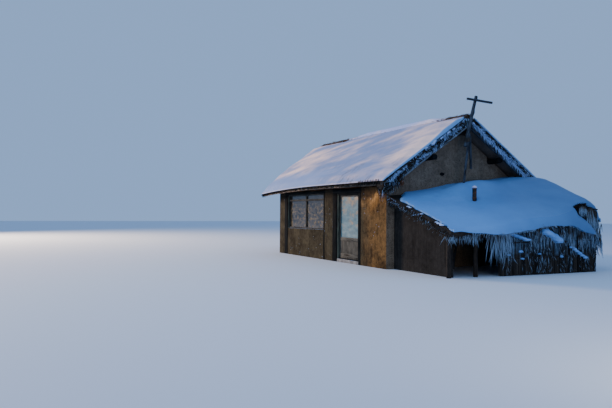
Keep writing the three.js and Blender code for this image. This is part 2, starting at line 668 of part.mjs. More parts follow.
function buildShedRoof() {
  const top = (x, y) => shedTop(x - GABLE_X, y);
  const holes = [propPole(GAP), stovePipe(GAP), houseRoofCorner()];
  const plan = shedPlan(1, SHED_REACH);
  const reed = blanket(1, 1, plan, (x, y) => top(x, y) - SHED_THATCH, top);
  add("shed_thatch", cut(reed, holes), "reed");
  const closerAtEnds = (t) => t - 0.12 * Math.sin(2 * Math.PI * t);
  const snow = blanket(22, 24, (u, v) => plan(closerAtEnds(u), closerAtEnds(v)), (x, y) => top(x, y) + GAP,
    (x, y) => top(x, y) + shedSnowDepth(x - GABLE_X, y));
  add("shed_snow", cut(snow, holes), "snow");
}

const headroom = SHED_THATCH + 72;
const shedHead = (out, y) => shedTop(out, y) - headroom;

function buildShedFrontWall() {
  const [y0, y1] = [-2150, -2060];
  const end = SHED_BEAM_OUT - SHED_POLE_R - 5;
  const wall = prismY([[shedX(1), 0], [shedX(end), 0], [shedX(end), shedHead(end, y0)], [shedX(1), shedHead(1, y0)]],
    y0, y1);
  const ledger = alongShed(SHED_POLE_R + GAP, -2300, 2330, GAP);
  const above = box(GABLE_X, shedX(2 * SHED_POLE_R + 1), y0 - 10, y1 + 10, shedBeamAxis(SHED_POLE_R, y0), 2500);
  add("shed_front_wall", cut(wall, [ledger, above]), "earth");
}

function buildStalkWalls() {
  const outer = prismX([[STALK_START_Y, 0], [STALK_END_Y, 0], [STALK_END_Y, shedHead(STALK_OUTER, STALK_END_Y)],
    [STALK_START_Y, shedHead(STALK_OUTER, STALK_START_Y)]], shedX(STALK_INNER), shedX(STALK_OUTER));
  const inner = STALK_INNER + 10;
  const back = prismY([[shedX(1), 0], [shedX(inner), 0], [shedX(inner), shedHead(inner, STALK_BACK_Y)],
    [shedX(1), shedHead(1, STALK_BACK_Y)]], STALK_BACK_Y, STALK_END_Y);
  add("shed_stalk_wall", join([outer, back]), "stalks");
}

// Ragged straw that hangs from the shed's eave and from its front verge
function fringeDepth(place, step) {
  return 190 + 70 * Math.sin(place / 410) + 45 * Math.sin(place / 137 + 1) + (step % 2 ? 60 : -20);
}

function raggedEdge(start, end, pitch, topAt) {
  const count = Math.round((end - start) / pitch);
  const low = [];
  for (let step = 0; step <= count; step++) {
    const place = THREE.MathUtils.lerp(start, end, step / count);
    low.push([place, topAt(place) - fringeDepth(place, step)]);
  }
  return [...low, [end, topAt(end)], [start, topAt(start)]];
}

function buildFringes() {
  const eaveTop = (y) => shedTop(FRINGE_OUTER, y) - SHED_THATCH - GAP;
  const vergeTop = (x) => shedTop(x - GABLE_X, SHED_FRONT_Y) - SHED_THATCH - GAP;
  add("shed_fringe", join([
    prismX(raggedEdge(SHED_FRONT_Y, SHED_BACK_Y, 120, eaveTop), shedX(FRINGE_INNER), shedX(FRINGE_OUTER)),
    prismY(raggedEdge(shedX(60), shedX(FRINGE_OUTER - 20), 120, vergeTop), SHED_FRONT_Y, SHED_FRONT_Y + 50),
  ]), "stalks");
}

function buildStovepipe() {
  const cap = pole([shedX(PIPE_OUT), PIPE_Y, PIPE_TOP - 4], [shedX(PIPE_OUT), PIPE_Y, PIPE_TOP + 20],
    PIPE_R + 9, PIPE_R - 8, 16);
  add("stovepipe", join([cut(stovePipe(0), [stovePipe(-6).translate(0, 0, -20)]), cap]), "iron");
}

// The mast: an upper pole, a long prop down to the ground and a short strut on the ridge purlin's end
const STRUT_R = 35;
const MAST_BUTT_R = 50;
const MAST_TIP_R = 42;
const mastX = shedX(MAST_OUT);
const mastButt = [mastX, -175, 3360];
const mastTip = [mastX, 201, MAST_TOP - 10];
const strutX = VERGE_X + STRUT_R + GAP;
const upperPole = (grow) => pole(mastButt, mastTip, MAST_BUTT_R + grow, MAST_TIP_R + grow);
const strutPole = (grow) => pole([strutX, 40, 2750], [strutX, 6, 3700], STRUT_R + grow);

function buildMast() {
  add("mast_upper_pole", upperPole(0), "dark_timber");
  add("mast_prop_pole", cut(propPole(0), [box(mastX - 200, mastX + 400, -1000, -400, -200, 0)]), "dark_timber");
  add("mast_strut", strutPole(0), "pole_timber");
  const [x0, x1] = [VERGE_X + 6, shedX(MAST_OUT + 81 + 44)];
  const [y0, y1] = [-186, 56];
  const corner = 40;
  const shape = new THREE.Shape()
    .moveTo(x0 + corner, y0).lineTo(x1 - corner, y0).quadraticCurveTo(x1, y0, x1, y0 + corner)
    .lineTo(x1, -70).lineTo(x0 + 110, y1).lineTo(x0, y1).lineTo(x0, y0 + corner)
    .quadraticCurveTo(x0, y0, x0 + corner, y0);
  const wrap = extruded(shape, 70).translate(0, 0, 3500);
  add("mast_lashing", cut(wrap, [upperPole(GAP), propPole(GAP), strutPole(GAP)]), "stalks");
  const armBack = mastX + MAST_TIP_R + 1.2;
  const arm = new THREE.BoxGeometry(48, 900, 58)
    .rotateX(-0.044)
    .translate(armBack + 24, 270, 4650);
  add("mast_crossarm", arm, "dark_timber");
}

buildFloor();
buildFrontWall();
buildBackWall();
buildGableWall("gable_wall_left", LEFT_X, INNER_LEFT);
buildGableWall("gable_wall_right", INNER_RIGHT, GABLE_X);
buildLogs();
buildTruss();
buildRafters("front", -1);
buildRafters("back", 1);
buildThatch("thatch_front", -1);
buildThatch("thatch_back", 1);
buildRidgeRoll();
buildSlopeSnow("snow_front_slope", -1);
buildSlopeSnow("snow_back_slope", 1);
buildRidgeSnow();
buildFrontWindow();
buildBackWindows();
buildDoorFrame();
buildDoorLeaf();
buildHinges();
buildShedFrame();
buildShedRoof();
buildShedFrontWall();
buildStalkWalls();
buildFringes();
buildStovepipe();
buildMast();

export default house;
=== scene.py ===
# %% [markdown]
# # A snowed-in farmhouse under a reed roof
# This lesson dresses a measured model of a small earth-walled farmhouse. The measured solids come in
# first and stay as the frame. Each step then takes one piece of the real house, says what it is, and
# either gives its solid a better surface or builds a finer piece in its place.

# %% Load the measured frame
import math
import random

import bpy
import numpy as np
from mathutils import Matrix, Quaternion, Vector, noise


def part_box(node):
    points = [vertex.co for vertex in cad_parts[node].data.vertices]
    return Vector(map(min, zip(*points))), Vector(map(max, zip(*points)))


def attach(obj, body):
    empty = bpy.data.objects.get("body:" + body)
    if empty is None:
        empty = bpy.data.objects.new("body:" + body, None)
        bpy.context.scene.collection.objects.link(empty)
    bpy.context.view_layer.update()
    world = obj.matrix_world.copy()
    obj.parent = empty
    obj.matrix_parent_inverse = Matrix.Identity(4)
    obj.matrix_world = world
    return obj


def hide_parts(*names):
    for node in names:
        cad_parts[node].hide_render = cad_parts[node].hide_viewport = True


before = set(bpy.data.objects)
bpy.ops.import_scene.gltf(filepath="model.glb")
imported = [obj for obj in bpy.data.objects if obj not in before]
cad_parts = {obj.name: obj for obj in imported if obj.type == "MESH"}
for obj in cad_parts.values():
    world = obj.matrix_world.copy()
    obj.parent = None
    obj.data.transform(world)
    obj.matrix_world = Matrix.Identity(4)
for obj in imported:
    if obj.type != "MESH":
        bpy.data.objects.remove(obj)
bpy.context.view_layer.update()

# %% [markdown]
# ## The camera
# The view stands low, at the height of a person's eyes, and looks along the house from in front of its
# right gable. One focal length and one place explain every roof corner, so the camera is set from them.

# %% Camera
LENS_MM = 35.59
CAMERA_AT = Vector((16.485, -11.35, 1.50))
CAMERA_YAW = math.radians(154.3)
CAMERA_PITCH = math.radians(0.82)
CAMERA_ROLL = math.radians(0.43)


def add_camera():
    data = bpy.data.cameras.new("view_camera")
    data.lens = LENS_MM
    data.sensor_width = 36.0
    data.clip_end = 300.0
    camera = bpy.data.objects.new("view_camera", data)
    bpy.context.scene.collection.objects.link(camera)
    flat = math.cos(CAMERA_PITCH)
    look = Vector((math.cos(CAMERA_YAW) * flat, math.sin(CAMERA_YAW) * flat, math.sin(CAMERA_PITCH)))
    camera.location = CAMERA_AT
    camera.rotation_mode = "QUATERNION"
    camera.rotation_quaternion = look.to_track_quat("-Z", "Y") @ Quaternion((0.0, 0.0, 1.0), CAMERA_ROLL)
    bpy.context.scene.camera = camera
    return camera


view_camera = add_camera()
print("camera at", tuple(round(v, 2) for v in view_camera.location))

# %% [markdown]
# ## Floor and light
# A pale plain floor takes the contact shadows. A wide warm light from the left stands for a low sun,
# and a cool dome fills the shade, as open sky does on snow.

# %% Floor and lights


def add_floor():
    bpy.ops.object.select_all(action="DESELECT")
    bpy.ops.mesh.primitive_plane_add(size=160.0, location=(0.0, 0.0, 0.0))
    floor = bpy.context.object
    floor.name = "studio_floor"
    material = bpy.data.materials.new("studio_floor")
    material.use_nodes = True
    shader = material.node_tree.nodes["Principled BSDF"]
    shader.inputs["Base Color"].default_value = (0.62, 0.70, 0.80, 1.0)
    shader.inputs["Roughness"].default_value = 0.9
    floor.data.materials.append(material)


def add_area_light(name, at, target, size, watts, colour):
    data = bpy.data.lights.new(name, "AREA")
    data.shape = "DISK"
    data.size = size
    data.energy = watts
    data.color = colour
    light = bpy.data.objects.new(name, data)
    bpy.context.scene.collection.objects.link(light)
    light.location = at
    light.rotation_mode = "QUATERNION"
    light.rotation_quaternion = (Vector(target) - Vector(at)).to_track_quat("-Z", "Y")


def set_dome(colour, strength):
    world = bpy.data.worlds.new("studio_dome")
    world.use_nodes = True
    background = world.node_tree.nodes["Background"]
    background.inputs["Color"].default_value = (*colour, 1.0)
    background.inputs["Strength"].default_value = strength
    bpy.context.scene.world = world


add_floor()
set_dome((0.36, 0.58, 1.0), 0.78)
add_area_light("low_warm_light", (-24.0, -19.0, 9.0), (0.0, 0.0, 1.5), 7.0, 11000.0, (1.0, 0.72, 0.50))
add_area_light("high_soft_light", (8.0, -12.0, 16.0), (0.0, 0.0, 2.0), 14.0, 900.0, (0.72, 0.85, 1.0))
add_area_light("low_fill_light", (15.0, -5.0, 1.2), (4.5, -1.5, 0.5), 3.0, 150.0, (1.0, 0.80, 0.66))
print("floor and lights are set")

# %% [markdown]
# ## Modelling helpers
# A piece starts as a primitive and is shaped with the edit tools, so a few helpers select things in
# code and apply modifiers. Each finished piece sits at the origin with its place in its mesh.

# %% Select, apply, join and finish


def deselect_all():
    bpy.ops.object.select_all(action="DESELECT")


def activate(piece):
    deselect_all()
    piece.select_set(True)
    bpy.context.view_layer.objects.active = piece


def edit_selected(piece, chosen, operation, mode="FACE"):
    """Runs an edit-mode operation on the faces, or the edges, that chosen(item) picks."""
    activate(piece)
    bpy.ops.object.mode_set(mode="EDIT")
    bpy.ops.mesh.select_mode(type=mode)
    bpy.ops.mesh.select_all(action="DESELECT")
    bpy.ops.object.mode_set(mode="OBJECT")
    items = piece.data.polygons if mode == "FACE" else piece.data.edges
    picked = [item for item in items if chosen(item)]
    for item in picked:
        item.select = True
    bpy.ops.object.mode_set(mode="EDIT")
    if picked:
        operation()
    bpy.ops.object.mode_set(mode="OBJECT")


def ringed_cylinder(sides, rings):
    """An upright cylinder one tall and one in radius, with its side cut into rings."""
    deselect_all()
    bpy.ops.mesh.primitive_cylinder_add(vertices=sides, radius=1.0, depth=1.0, location=(0.0, 0.0, 0.0))
    cylinder = bpy.context.object

    def upright(edge):
        foot, head = (cylinder.data.vertices[k].co.z for k in edge.vertices)
        return abs(head - foot) > 0.5

    edit_selected(cylinder, upright, lambda: bpy.ops.mesh.subdivide(number_cuts=rings), mode="EDGE")
    return cylinder


def face_outwards(piece):
    edit_selected(piece, lambda face: True, lambda: bpy.ops.mesh.normals_make_consistent(inside=False))


def apply_modifier(piece, kind, **settings):
    activate(piece)
    modifier = piece.modifiers.new("shaping", kind)
    for key, value in settings.items():
        setattr(modifier, key, value)
    bpy.ops.object.modifier_apply(modifier=modifier.name)


def join_pieces(pieces):
    deselect_all()
    for piece in pieces:
        piece.select_set(True)
    bpy.context.view_layer.objects.active = pieces[0]
    if len(pieces) > 1:
        bpy.ops.object.join()
    return bpy.context.view_layer.objects.active


def finish_piece(piece, name, material, replaced=(), body="house", angle=40.0):
    piece.name = name
    piece.data.name = name
    activate(piece)
    bpy.ops.object.shade_smooth_by_angle(angle=math.radians(angle))
    piece.data.materials.clear()
    piece.data.materials.append(material)
    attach(piece, body)
    if replaced:
        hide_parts(*replaced)
    triangles = sum(len(face.vertices) - 2 for face in piece.data.polygons)
    print(f"{name}: {triangles} triangles")


def smooth(low, high, value):
    """An eased step from 0 at low to 1 at high. low may be the larger of the two."""
    t = min(1.0, max(0.0, (value - low) / (high - low)))
    return t * t * (3.0 - 2.0 * t)


print("modelling helpers are ready")

# %% [markdown]
# ## Shader helpers
# A material here is a small tree of nodes. These helpers place one node at a time and take either a
# number or another node's output for each input. Effects that several materials share become groups.

# %% Node helpers


def put(tree, kind, inputs=None, **settings):
    made = tree.nodes.new("ShaderNode" + kind)
    for key, value in settings.items():
        setattr(made, key, value)
    for key, value in (inputs or {}).items():
        if isinstance(value, bpy.types.NodeSocket):
            tree.links.new(value, made.inputs[key])
        else:
            made.inputs[key].default_value = value
    return made


def calc(tree, operation, a, b=0.0):
    return put(tree, "Math", {0: a, 1: b}, operation=operation).outputs[0]


def weigh(tree, first, share, second, other_share):
    """The two values, each times its share, added up."""
    return calc(tree, "ADD", calc(tree, "MULTIPLY", first, share), calc(tree, "MULTIPLY", second, other_share))


def part_of(tree, vector, axis):
    return put(tree, "SeparateXYZ", {0: vector}).outputs[axis]


def object_place(tree):
    return put(tree, "TexCoord").outputs["Object"]


def blend_colours(tree, factor, a, b):
    mix = put(tree, "Mix", {0: factor, 6: a, 7: b}, data_type="RGBA")
    return mix.outputs[2]


def remap(tree, value, low, high, to_low=0.0, to_high=1.0):
    made = put(tree, "MapRange", {0: value, 1: low, 2: high, 3: to_low, 4: to_high}, interpolation_type="SMOOTHSTEP")
    return made.outputs[0]


def noise_value(tree, vector, scale, detail=4.0, roughness=0.55):
    return put(tree, "TexNoise", {"Vector": vector, "Scale": scale, "Detail": detail,
                                  "Roughness": roughness}).outputs[0]


def stretched(tree, vector, scale):
    return put(tree, "Mapping", {"Vector": vector, "Scale": scale}).outputs[0]


def new_group(name, inputs, outputs):
    group = bpy.data.node_groups.new(name, "ShaderNodeTree")
    for socket, kind, value in inputs:
        made = group.interface.new_socket(name=socket, in_out="INPUT", socket_type=kind)
        made.default_value = value
    for socket, kind in outputs:
        group.interface.new_socket(name=socket, in_out="OUTPUT", socket_type=kind)
    return group, group.nodes.new("NodeGroupInput").outputs, group.nodes.new("NodeGroupOutput").inputs


def place_group(tree, group, inputs):
    return put(tree, "Group", inputs, node_tree=group).outputs


def new_material(name, roughness=0.8, gloss=0.10):
    """gloss is the shader's specular level: dry wood, straw and earth have very little."""
    material = bpy.data.materials.new(name)
    material.use_nodes = True
    tree = material.node_tree
    shader = tree.nodes["Principled BSDF"]
    shader.inputs["Roughness"].default_value = roughness
    shader.inputs["Specular IOR Level"].default_value = gloss
    return material, tree, shader


def add_bump(tree, shader, height, strength, distance):
    bump = put(tree, "Bump", {"Height": height, "Strength": strength, "Distance": distance})
    tree.links.new(bump.outputs["Normal"], shader.inputs["Normal"])


COLOUR = "NodeSocketColor"
NUMBER = "NodeSocketFloat"
VECTOR = "NodeSocketVector"
print("shader helpers are ready")

# %% [markdown]
# ## Frost
# Hoar frost and powder snow settle on whatever faces the sky and cling in patches to the rest. The mask
# joins how far a face looks up with a noise, so that one group frosts posts, straw and walls alike.

# %% Frost mask group


def build_frost_group():
    group, given, result = new_group("frost_mask", [("Vector", VECTOR, (0, 0, 0)), ("Amount", NUMBER, 0.5),
                                                    ("Size", NUMBER, 14.0), ("Upwards", NUMBER, 0.6)],
                                     [("Mask", NUMBER)])
    normal = put(group, "NewGeometry").outputs["Normal"]
    up = part_of(group, normal, "Z")
    facing = calc(group, "MULTIPLY", up, given["Upwards"])
    patches = noise_value(group, given["Vector"], given["Size"], 6.0, 0.65)
    lifted = calc(group, "ADD", calc(group, "ADD", patches, facing), given["Amount"])
    group.links.new(remap(group, lifted, 0.95, 1.15), result["Mask"])
    return group


FROST = build_frost_group()
# Frost is white; this frost colour is blue, which paints the cold shade of the open sky into every frost mark.
FROST_BLUE_IN_SHADE = (0.42, 0.64, 1.0, 1.0)


def frost_mask(tree, where, amount, size, upwards):
    return place_group(tree, FROST, {"Vector": where, "Amount": amount, "Size": size, "Upwards": upwards})["Mask"]


def frost_over(tree, where, colour, amount, size, upwards):
    return blend_colours(tree, frost_mask(tree, where, amount, size, upwards), colour, FROST_BLUE_IN_SHADE)


print("group:", FROST.name)

# %% [markdown]
# ## Weathered timber
# Old poles and posts show long fibres, drying cracks along the grain and growth rings at the sawn ends.
# Every timber piece carries its own grain coordinates, with the third one running along the piece, so the
# fibres follow it whichever way it lies.

# %% Timber group and materials


def build_timber_group():
    group, given, result = new_group("weathered_timber", [("Grain", VECTOR, (0, 0, 0)),
                                                          ("Dark", COLOUR, (0, 0, 0, 1)),
                                                          ("Pale", COLOUR, (1, 1, 1, 1))],
                                     [("Color", COLOUR), ("Height", NUMBER), ("Roughness", NUMBER)])
    fibres = noise_value(group, stretched(group, given["Grain"], (1.0, 1.0, 0.045)), 90.0, 6.0, 0.7)
    splits = noise_value(group, stretched(group, given["Grain"], (1.0, 1.0, 0.09)), 34.0, 3.0)
    cracks = remap(group, splits, 0.36, 0.42)
    flat = put(group, "VectorMath", {0: given["Grain"], 1: (1.0, 1.0, 0.0)}, operation="MULTIPLY").outputs[0]
    across = put(group, "VectorMath", {0: flat}, operation="LENGTH").outputs["Value"]
    wobble = calc(group, "MULTIPLY", noise_value(group, given["Grain"], 9.0, 2.0), 0.02)
    rings = calc(group, "SINE", calc(group, "MULTIPLY", calc(group, "ADD", across, wobble), 900.0))
    stains = noise_value(group, stretched(group, given["Grain"], (1.0, 1.0, 0.35)), 7.0, 4.0)
    tone = weigh(group, fibres, 0.55, stains, 0.65)
    tone = calc(group, "ADD", tone, calc(group, "MULTIPLY", rings, 0.05))
    colour = blend_colours(group, remap(group, tone, 0.38, 0.80), given["Dark"], given["Pale"])
    # Cracks are coloured near black, which paints the shade inside them.
    shade = blend_colours(group, cracks, (0.012, 0.009, 0.008, 1.0), colour)
    group.links.new(shade, result["Color"])
    height = weigh(group, fibres, 0.4, cracks, 0.6)
    group.links.new(height, result["Height"])
    group.links.new(remap(group, tone, 0.3, 0.9, 0.9, 0.62), result["Roughness"])
    return group


TIMBER = build_timber_group()


def timber_material(name, dark, pale, frost, upwards, gloss=0.10):
    material, tree, shader = new_material(name, 0.8, gloss)
    grain = put(tree, "Attribute", attribute_name="grain").outputs["Vector"]
    wood = place_group(tree, TIMBER, {"Grain": grain, "Dark": (*dark, 1.0), "Pale": (*pale, 1.0)})
    colour = frost_over(tree, object_place(tree), wood["Color"], frost, 26.0, upwards)
    tree.links.new(colour, shader.inputs["Base Color"])
    tree.links.new(wood["Roughness"], shader.inputs["Roughness"])
    add_bump(tree, shader, wood["Height"], 0.5, 0.006)
    return material


POLE_WOOD = timber_material("smoked_pole", (0.008, 0.006, 0.005), (0.045, 0.032, 0.023), 0.04, 0.30)
# The front wall plate's paler, redder wood paints the low sun's light on its lower edge.
EAVE_WOOD = timber_material("eave_log", (0.006, 0.004, 0.003), (0.20, 0.095, 0.048), 0.0, 0.25)
# The laths' pale tone paints the low sun's light along the reed's lower edge at the eave.
LATH_WOOD = timber_material("eave_lath", (0.06, 0.042, 0.030), (0.42, 0.31, 0.22), 0.0, 0.25)
DARK_WOOD = timber_material("dark_post", (0.006, 0.0055, 0.005), (0.040, 0.032, 0.026), 0.06, 0.35)
HEWN_WOOD = timber_material("hewn_post", (0.0015, 0.0022, 0.0028), (0.0075, 0.0110, 0.0135), 0.0, 0.40, gloss=0.02)
# The mast's wood is tinted blue-grey, which paints the cold shade of the sky on the dark poles.
MAST_WOOD = timber_material("mast_pole", (0.006, 0.009, 0.014), (0.055, 0.075, 0.105), 0.16, 0.30)
SASH_WOOD = timber_material("window_sash", (0.007, 0.009, 0.010), (0.045, 0.048, 0.046), 0.06, 0.45)
# The left jambs take a paler, greener wood than the rest of the frames: painted skylight on the left reveals, which
# the posts shade from the low light.
SKYLIT_JAMB_WOOD = timber_material("door_jamb_painted_skylight", (0.020, 0.028, 0.024), (0.095, 0.125, 0.105), 0.02, 0.40)
DOOR_WOOD = timber_material("door_boards", (0.024, 0.026, 0.024), (0.125, 0.120, 0.100), 0.02, 0.40)
print("timber materials:", POLE_WOOD.name, EAVE_WOOD.name, DARK_WOOD.name, MAST_WOOD.name)

# %% [markdown]
# ## Earth walls
# The walls are rammed and rendered with mud and chopped straw. Rain has drawn pale and dark streaks down
# the front, the gable is an even dark grey, and both are pitted and flecked with straw. The solids of
# the walls are right as they are, so they keep their mesh and get this surface.

# %% Earth group and materials


def build_earth_group():
    group, given, result = new_group("earth_render", [("Vector", VECTOR, (0, 0, 0)),
                                                      ("Dark", COLOUR, (0, 0, 0, 1)), ("Pale", COLOUR, (1, 1, 1, 1)),
                                                      ("Streaks", NUMBER, 0.5), ("Straw", NUMBER, 0.4)],
                                     [("Color", COLOUR), ("Height", NUMBER)])
    where = given["Vector"]
    patches = noise_value(group, where, 1.7, 5.0, 0.6)
    mottle = noise_value(group, where, 11.0, 6.0, 0.65)
    runs = noise_value(group, stretched(group, where, (13.0, 13.0, 0.9)), 1.0, 5.0, 0.7)
    streaks = calc(group, "MULTIPLY", calc(group, "SUBTRACT", runs, 0.5), given["Streaks"])
    tone = weigh(group, patches, 0.55, mottle, 0.45)
    tone = calc(group, "ADD", tone, streaks)
    colour = blend_colours(group, remap(group, tone, 0.30, 0.72), given["Dark"], given["Pale"])
    cells = put(group, "TexVoronoi", {"Vector": stretched(group, where, (1.0, 1.0, 3.1)), "Scale": 38.0,
                                      "Randomness": 1.0}).outputs["Distance"]
    flecks = calc(group, "MULTIPLY", remap(group, cells, 0.16, 0.05), given["Straw"])
    colour = blend_colours(group, flecks, colour, (0.36, 0.27, 0.13, 1.0))
    # Pits are coloured near black, which paints the shade inside them.
    pits = remap(group, noise_value(group, where, 60.0, 3.0), 0.34, 0.46)
    group.links.new(blend_colours(group, pits, (0.02, 0.016, 0.012, 1.0), colour), result["Color"])
    height = weigh(group, mottle, 0.55, pits, 0.25)
    height = calc(group, "ADD", height, calc(group, "MULTIPLY", runs, 0.25))
    group.links.new(height, result["Height"])
    return group


EARTH = build_earth_group()


def front_tones(tree, where):
    """The front's colours carry painted light: dark olive, painted shade, up to the door; golden brown, a painted
    patch of low sunlight, to its right, which gives way partly to olive low down, where the bushes' shadow is
    painted; a painted band of light high up; and painted eave shade at the eave.
    """
    parts = put(tree, "SeparateXYZ", {0: where}).outputs
    blotches = noise_value(tree, stretched(tree, where, (1.0, 1.0, 0.55)), 4.2, 5.0, 0.65)
    along = calc(tree, "ADD", parts["X"], calc(tree, "MULTIPLY", blotches, 0.9))
    # The golden share paints a patch of low sunlight right of the door; the olive left of it is painted shade.
    share = remap(tree, along, 1.75, 2.75)
    up = calc(tree, "ADD", parts["Z"], calc(tree, "MULTIPLY", noise_value(tree, where, 7.0, 4.0), 0.34))
    up = calc(tree, "SUBTRACT", up, remap(tree, parts["X"], 2.0, 2.6, -0.30, 0.0))
    # Lower down the golden share drops: painted shadow of the bushes.
    share = calc(tree, "MULTIPLY", share, remap(tree, up, 1.84, 2.12, 0.55, 1.0))
    # A painted band of light high up, then painted shade right under the eave.
    painted_light_band = remap(tree, up, 2.10, 2.28)
    painted_eave_shade = remap(tree, up, 2.26, 2.46, 0.0, 0.80)
    tones = []
    for olive, golden, bright in zip(SHADED_OLIVE_TONES, SUNLIT_GOLDEN_TONES, PAINTED_LIGHT_BAND_TONES):
        golden = blend_colours(tree, painted_light_band, golden, bright)
        tones.append(blend_colours(tree, painted_eave_shade, blend_colours(tree, share, olive, golden), EAVE_SHADE_TONE))
    return tones


def earth_material(name, dark, pale, streaks, straw, frost, spots=0.0, front="none"):
    """front is "none", "whole", or "face", where only faces that look to the front or the back carry its tones."""
    material, tree, shader = new_material(name, 0.95)
    where = object_place(tree)
    low, high = (*dark, 1.0), (*pale, 1.0)
    if front == "whole":
        low, high = front_tones(tree, where)
    if front == "face":
        looks = part_of(tree, put(tree, "NewGeometry").outputs["True Normal"], "Y")
        forwards = remap(tree, calc(tree, "ABSOLUTE", looks), 0.5, 0.9)
        low, high = (blend_colours(tree, forwards, own, front_tone)
                     for own, front_tone in zip((low, high), front_tones(tree, where)))
    earth = place_group(tree, EARTH, {"Vector": where, "Dark": low, "Pale": high, "Streaks": streaks, "Straw": straw})
    mask = frost_mask(tree, where, frost, 9.0, 0.7)
    if spots:
        dots = put(tree, "TexVoronoi", {"Vector": where, "Scale": 7.5}).outputs["Distance"]
        mask = calc(tree, "MAXIMUM", mask, remap(tree, dots, spots, spots * 0.55))
    tree.links.new(blend_colours(tree, mask, earth["Color"], FROST_BLUE_IN_SHADE), shader.inputs["Base Color"])
    add_bump(tree, shader, earth["Height"], 0.9, 0.02)
    return material


# Olive is the wall in painted shade, golden the wall in painted sunlight, the paler band painted light under the
# eave, and the last tone painted eave shade.
SHADED_OLIVE_TONES = ((0.014, 0.011, 0.006, 1.0), (0.084, 0.071, 0.042, 1.0))
SUNLIT_GOLDEN_TONES = ((0.020, 0.011, 0.004, 1.0), (0.38, 0.186, 0.050, 1.0))
PAINTED_LIGHT_BAND_TONES = ((0.060, 0.032, 0.012, 1.0), (0.74, 0.385, 0.125, 1.0))
EAVE_SHADE_TONE = (0.010, 0.007, 0.005, 1.0)
FRONT_EARTH = earth_material("front_earth", (0, 0, 0), (0, 0, 0), 0.30, 0.35, 0.0, 0.08, "whole")
GABLE_EARTH = earth_material("gable_earth", (0.100, 0.084, 0.063), (0.225, 0.192, 0.147), 0.20, 0.12, 0.0,
                             front="face")
# The shed's front wall is near black: painted shade of a wall standing back under the shed's roof.
SHADED_SHED_EARTH = earth_material("shed_earth_painted_shade", (0.008, 0.008, 0.008), (0.034, 0.032, 0.030), 0.5, 0.25, 0.02)
FLOOR_EARTH = earth_material("tamped_floor", (0.06, 0.045, 0.03), (0.20, 0.155, 0.11), 0.0, 0.35, -0.8)


def dress(material, slot, *names):
    for name in names:
        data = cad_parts[name].data
        data.materials.clear()
        data.materials.append(material)


dress(FRONT_EARTH, "earth_front", "front_wall_left", "front_wall_right", "front_wall_over_door", "back_wall")
dress(GABLE_EARTH, "earth_gable", "gable_wall_left", "gable_wall_right")
dress(SHADED_SHED_EARTH, "earth_gable", "shed_front_wall")
dress(FLOOR_EARTH, "floor_earth", "floor_slab")
print("walls and floor dressed")

# %% [markdown]
# ## Logs and boards
# Logs are never quite straight or round. A cylinder gets rings along its length and a chamfered end, then
# its points move: a slight bow, a taper, lumps, and a swelling at each knot. Boards start as a cube with
# bevelled edges, and rough ones are waved by a noise whose seed is set here, so that every run gives the
# same boards. Both keep their grain coordinates as an attribute.

# %% Log and board makers
noise.seed_set(7)


def keep_grain(piece, points):
    layer = piece.data.attributes.new("grain", "FLOAT_VECTOR", "POINT")
    layer.data.foreach_set("vector", np.asarray(points, dtype=np.float32).ravel())


def make_log(start, end, radius, tip, seed, sides=14, pitch=0.09, rough=0.05, knots=None, bow=0.25):
    start, end = Vector(start), Vector(end)
    length = (end - start).length
    dice = random.Random(seed)
    log = ringed_cylinder(sides, max(2, int(length / pitch)))
    edit_selected(log, lambda face: len(face.vertices) == sides and abs(face.normal.z) > 0.9,
                  lambda: bpy.ops.mesh.inset(thickness=0.10, depth=0.0))
    count = int(length / 0.45) if knots is None else knots
    swellings = [(dice.random(), dice.uniform(-math.pi, math.pi), dice.uniform(0.12, 0.30)) for _ in range(count)]
    lean = dice.uniform(0.0, math.tau)
    grain = []
    for vertex in log.data.vertices:
        t = vertex.co.z + 0.5
        out = math.hypot(vertex.co.x, vertex.co.y)
        angle = math.atan2(vertex.co.y, vertex.co.x)
        size = radius + (tip - radius) * t
        lump = rough * noise.noise((1.6 * math.cos(angle), 1.6 * math.sin(angle), t * length * 2.2 + seed * 7.3))
        for at, turn, height in swellings:
            apart = math.remainder(angle - turn, math.tau) * size
            lump += height * math.exp(-((t - at) * length / 0.05) ** 2 - (apart / (0.55 * size)) ** 2)
        reach = out * size * (1.0 + lump)
        end_chamfer = 0.25 * size if out < 0.95 else 0.0
        z = t * length + (end_chamfer * 0.4 if t > 0.999 else 0.0) - (end_chamfer * 0.4 if t < 0.001 else 0.0)
        shift = bow * size * math.sin(math.pi * t)
        x, y = reach * math.cos(angle), reach * math.sin(angle)
        grain.append((x, y, z + seed * 3.1))
        vertex.co = (x + shift * math.cos(lean), y + shift * math.sin(lean), z)
    keep_grain(log, grain)
    turn = (end - start).to_track_quat("Z", "Y").to_matrix().to_4x4()
    log.data.transform(Matrix.Translation(start) @ turn)
    return log


